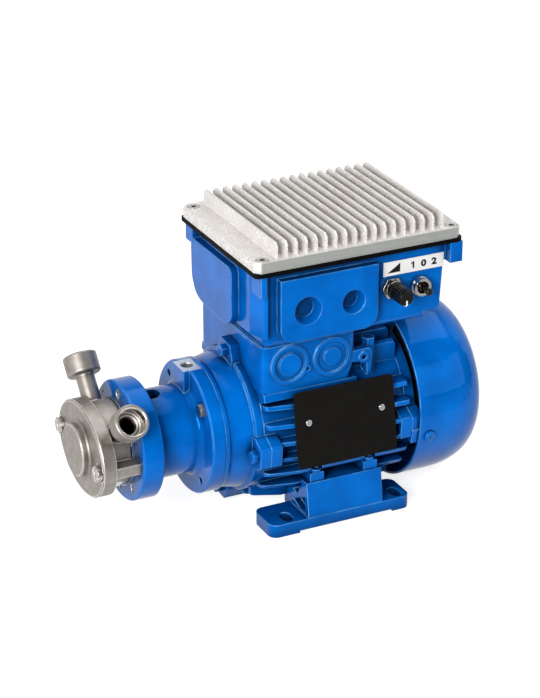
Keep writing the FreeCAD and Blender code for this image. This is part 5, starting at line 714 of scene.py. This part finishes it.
dress(moulded("capacitor_sleeve", "10131C", "1E2433", 0.25, 1.0, 0.01), "capacitors")

# %% [markdown]
# ## Printed marks and the knob's pointer
#
# The label over the controls carries a rising ramp for the speed knob and the digits of the
# three-way switch, screen printed in black ink, and the knob has a white pointer let into
# its end. The 0 and the 2 come from Blender's own font and are made a mesh before they are
# put in place. The 1 has a flag that the font's 1 lacks, so it is drawn from its corners,
# like the ramp and the pointer: a face through them is extruded into a thin slab, so that no
# mark lies flat in the face under it.

# %% Ink and marks
LABEL_LOW, LABEL_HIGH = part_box("control_label")
INK_DEPTH = 0.06 * MM
INK_SUNK = 0.02 * MM
WELD = 0.001 * MM
screen_ink = moulded("black_screen_ink", "0C0C0C", "1A1A1A", 0.4, 0.5, 0.004, specular=0.2)
white_fill = moulded("white_pointer_paint", "E9EBEC", "FAFBFB", 0.35, 0.5, 0.004)


def keep(shape, name, material, body):
    """Turn a finished bmesh into a piece of the machine that rides on a body."""
    bmesh.ops.remove_doubles(shape, verts=shape.verts, dist=WELD)
    bmesh.ops.recalc_face_normals(shape, faces=shape.faces)
    mesh = bpy.data.meshes.new(name)
    shape.to_mesh(mesh)
    shape.free()
    mesh.materials.append(material)
    piece = bpy.data.objects.new(name, mesh)
    scene.collection.objects.link(piece)
    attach(piece, body)
    print(name, "with", len(mesh.polygons), "faces rides on", body)


def slab(corners, depth):
    """A bmesh slab: a face through corners, extruded along a depth vector."""
    shape = bmesh.new()
    face = shape.faces.new([shape.verts.new(corner) for corner in corners])
    grown = bmesh.ops.extrude_face_region(shape, geom=[face])
    moved = [part for part in grown["geom"] if isinstance(part, bmesh.types.BMVert)]
    bmesh.ops.translate(shape, verts=moved, vec=depth)
    return shape


def on_label(across, up):
    """The point of the label's face at two shares of its width and height."""
    return Vector((LABEL_LOW.x + across * (LABEL_HIGH.x - LABEL_LOW.x), LABEL_LOW.y + INK_SUNK,
                   LABEL_LOW.z + up * (LABEL_HIGH.z - LABEL_LOW.z)))


print(f"ink stands {(INK_DEPTH - INK_SUNK) / MM:.2f} mm proud of the label")

# %% Ramp and digits
DIGIT_HEIGHT = 4.8 * MM
DIGIT_WIDENING = 1.2
FONT_BOLDNESS = 0.055
FONT_HALF_DEPTH = 0.005
FONT_DIGITS = {"0": 0.665, "2": 0.84}
ONE_PLACE = 0.49
FLAGGED_ONE = [(-0.08, -0.5), (0.16, -0.5), (0.16, 0.5), (-0.02, 0.5), (-0.32, 0.28),
               (-0.32, 0.06), (-0.08, 0.22)]
RAMP = [(0.065, 0.2), (0.275, 0.2), (0.275, 0.83)]


def printed_digit(digit, across):
    """A bold digit of the font, centred at a share of the label's width."""
    line = bpy.data.curves.new("digit_" + digit, "FONT")
    line.body = digit
    line.align_x = "CENTER"
    line.align_y = "CENTER"
    line.offset = FONT_BOLDNESS
    line.extrude = FONT_HALF_DEPTH
    sample = bpy.data.objects.new("sample", line)
    shape = bmesh.new()
    shape.from_mesh(bpy.data.meshes.new_from_object(sample))
    bpy.data.objects.remove(sample)
    lows = [min(vert.co[axis] for vert in shape.verts) for axis in range(2)]
    highs = [max(vert.co[axis] for vert in shape.verts) for axis in range(2)]
    middle = Vector([(low + high) / 2 for low, high in zip(lows, highs)] + [0])
    size = DIGIT_HEIGHT / (highs[1] - lows[1])
    spread = Matrix.Diagonal((size * DIGIT_WIDENING, size, INK_DEPTH / (2 * FONT_HALF_DEPTH), 1))
    upright = Matrix.Rotation(math.radians(90), 4, "X")
    place = Matrix.Translation(on_label(across, 0.5) - Vector((0, INK_DEPTH / 2, 0)))
    shape.transform(place @ upright @ spread @ Matrix.Translation(-middle))
    keep(shape, "label_digit_" + digit, screen_ink, "root")


for digit, across in FONT_DIGITS.items():
    printed_digit(digit, across)
one = slab([on_label(ONE_PLACE, 0.5) + Vector((across * DIGIT_HEIGHT, 0, up * DIGIT_HEIGHT))
            for across, up in FLAGGED_ONE], (0, -INK_DEPTH, 0))
keep(one, "label_digit_1", screen_ink, "root")
ramp = slab([on_label(across, up) for across, up in RAMP], (0, -INK_DEPTH, 0))
keep(ramp, "label_ramp", screen_ink, "root")

# %% Pointer
KNOB_LOW, KNOB_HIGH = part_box("knob")
KNOB_X = (KNOB_LOW.x + KNOB_HIGH.x) / 2
KNOB_Z = (KNOB_LOW.z + KNOB_HIGH.z) / 2
POINTER_WIDTH = 1.2 * MM
POINTER_EDGE = 0.08 * MM
# Behind the knob's end and above its middle, in millimetres.
POINTER_PATH = [(0.4, -1.4), (-0.03, -1.4), (-0.03, -4.7), (1.2, -5.9), (4.4, -5.98),
                (4.4, -5.2), (1.6, -5.2), (0.4, -4.2)]
outline = [Vector((KNOB_X - POINTER_WIDTH / 2, KNOB_LOW.y + behind * MM, KNOB_Z + up * MM))
           for behind, up in POINTER_PATH]
pointer = slab(outline, (POINTER_WIDTH, 0, 0))
bmesh.ops.bevel(pointer, geom=pointer.edges[:], offset=POINTER_EDGE, offset_type="OFFSET",
                segments=2, profile=0.5, affect="EDGES", material=-1)
keep(pointer, "knob_pointer", white_fill, "knob")
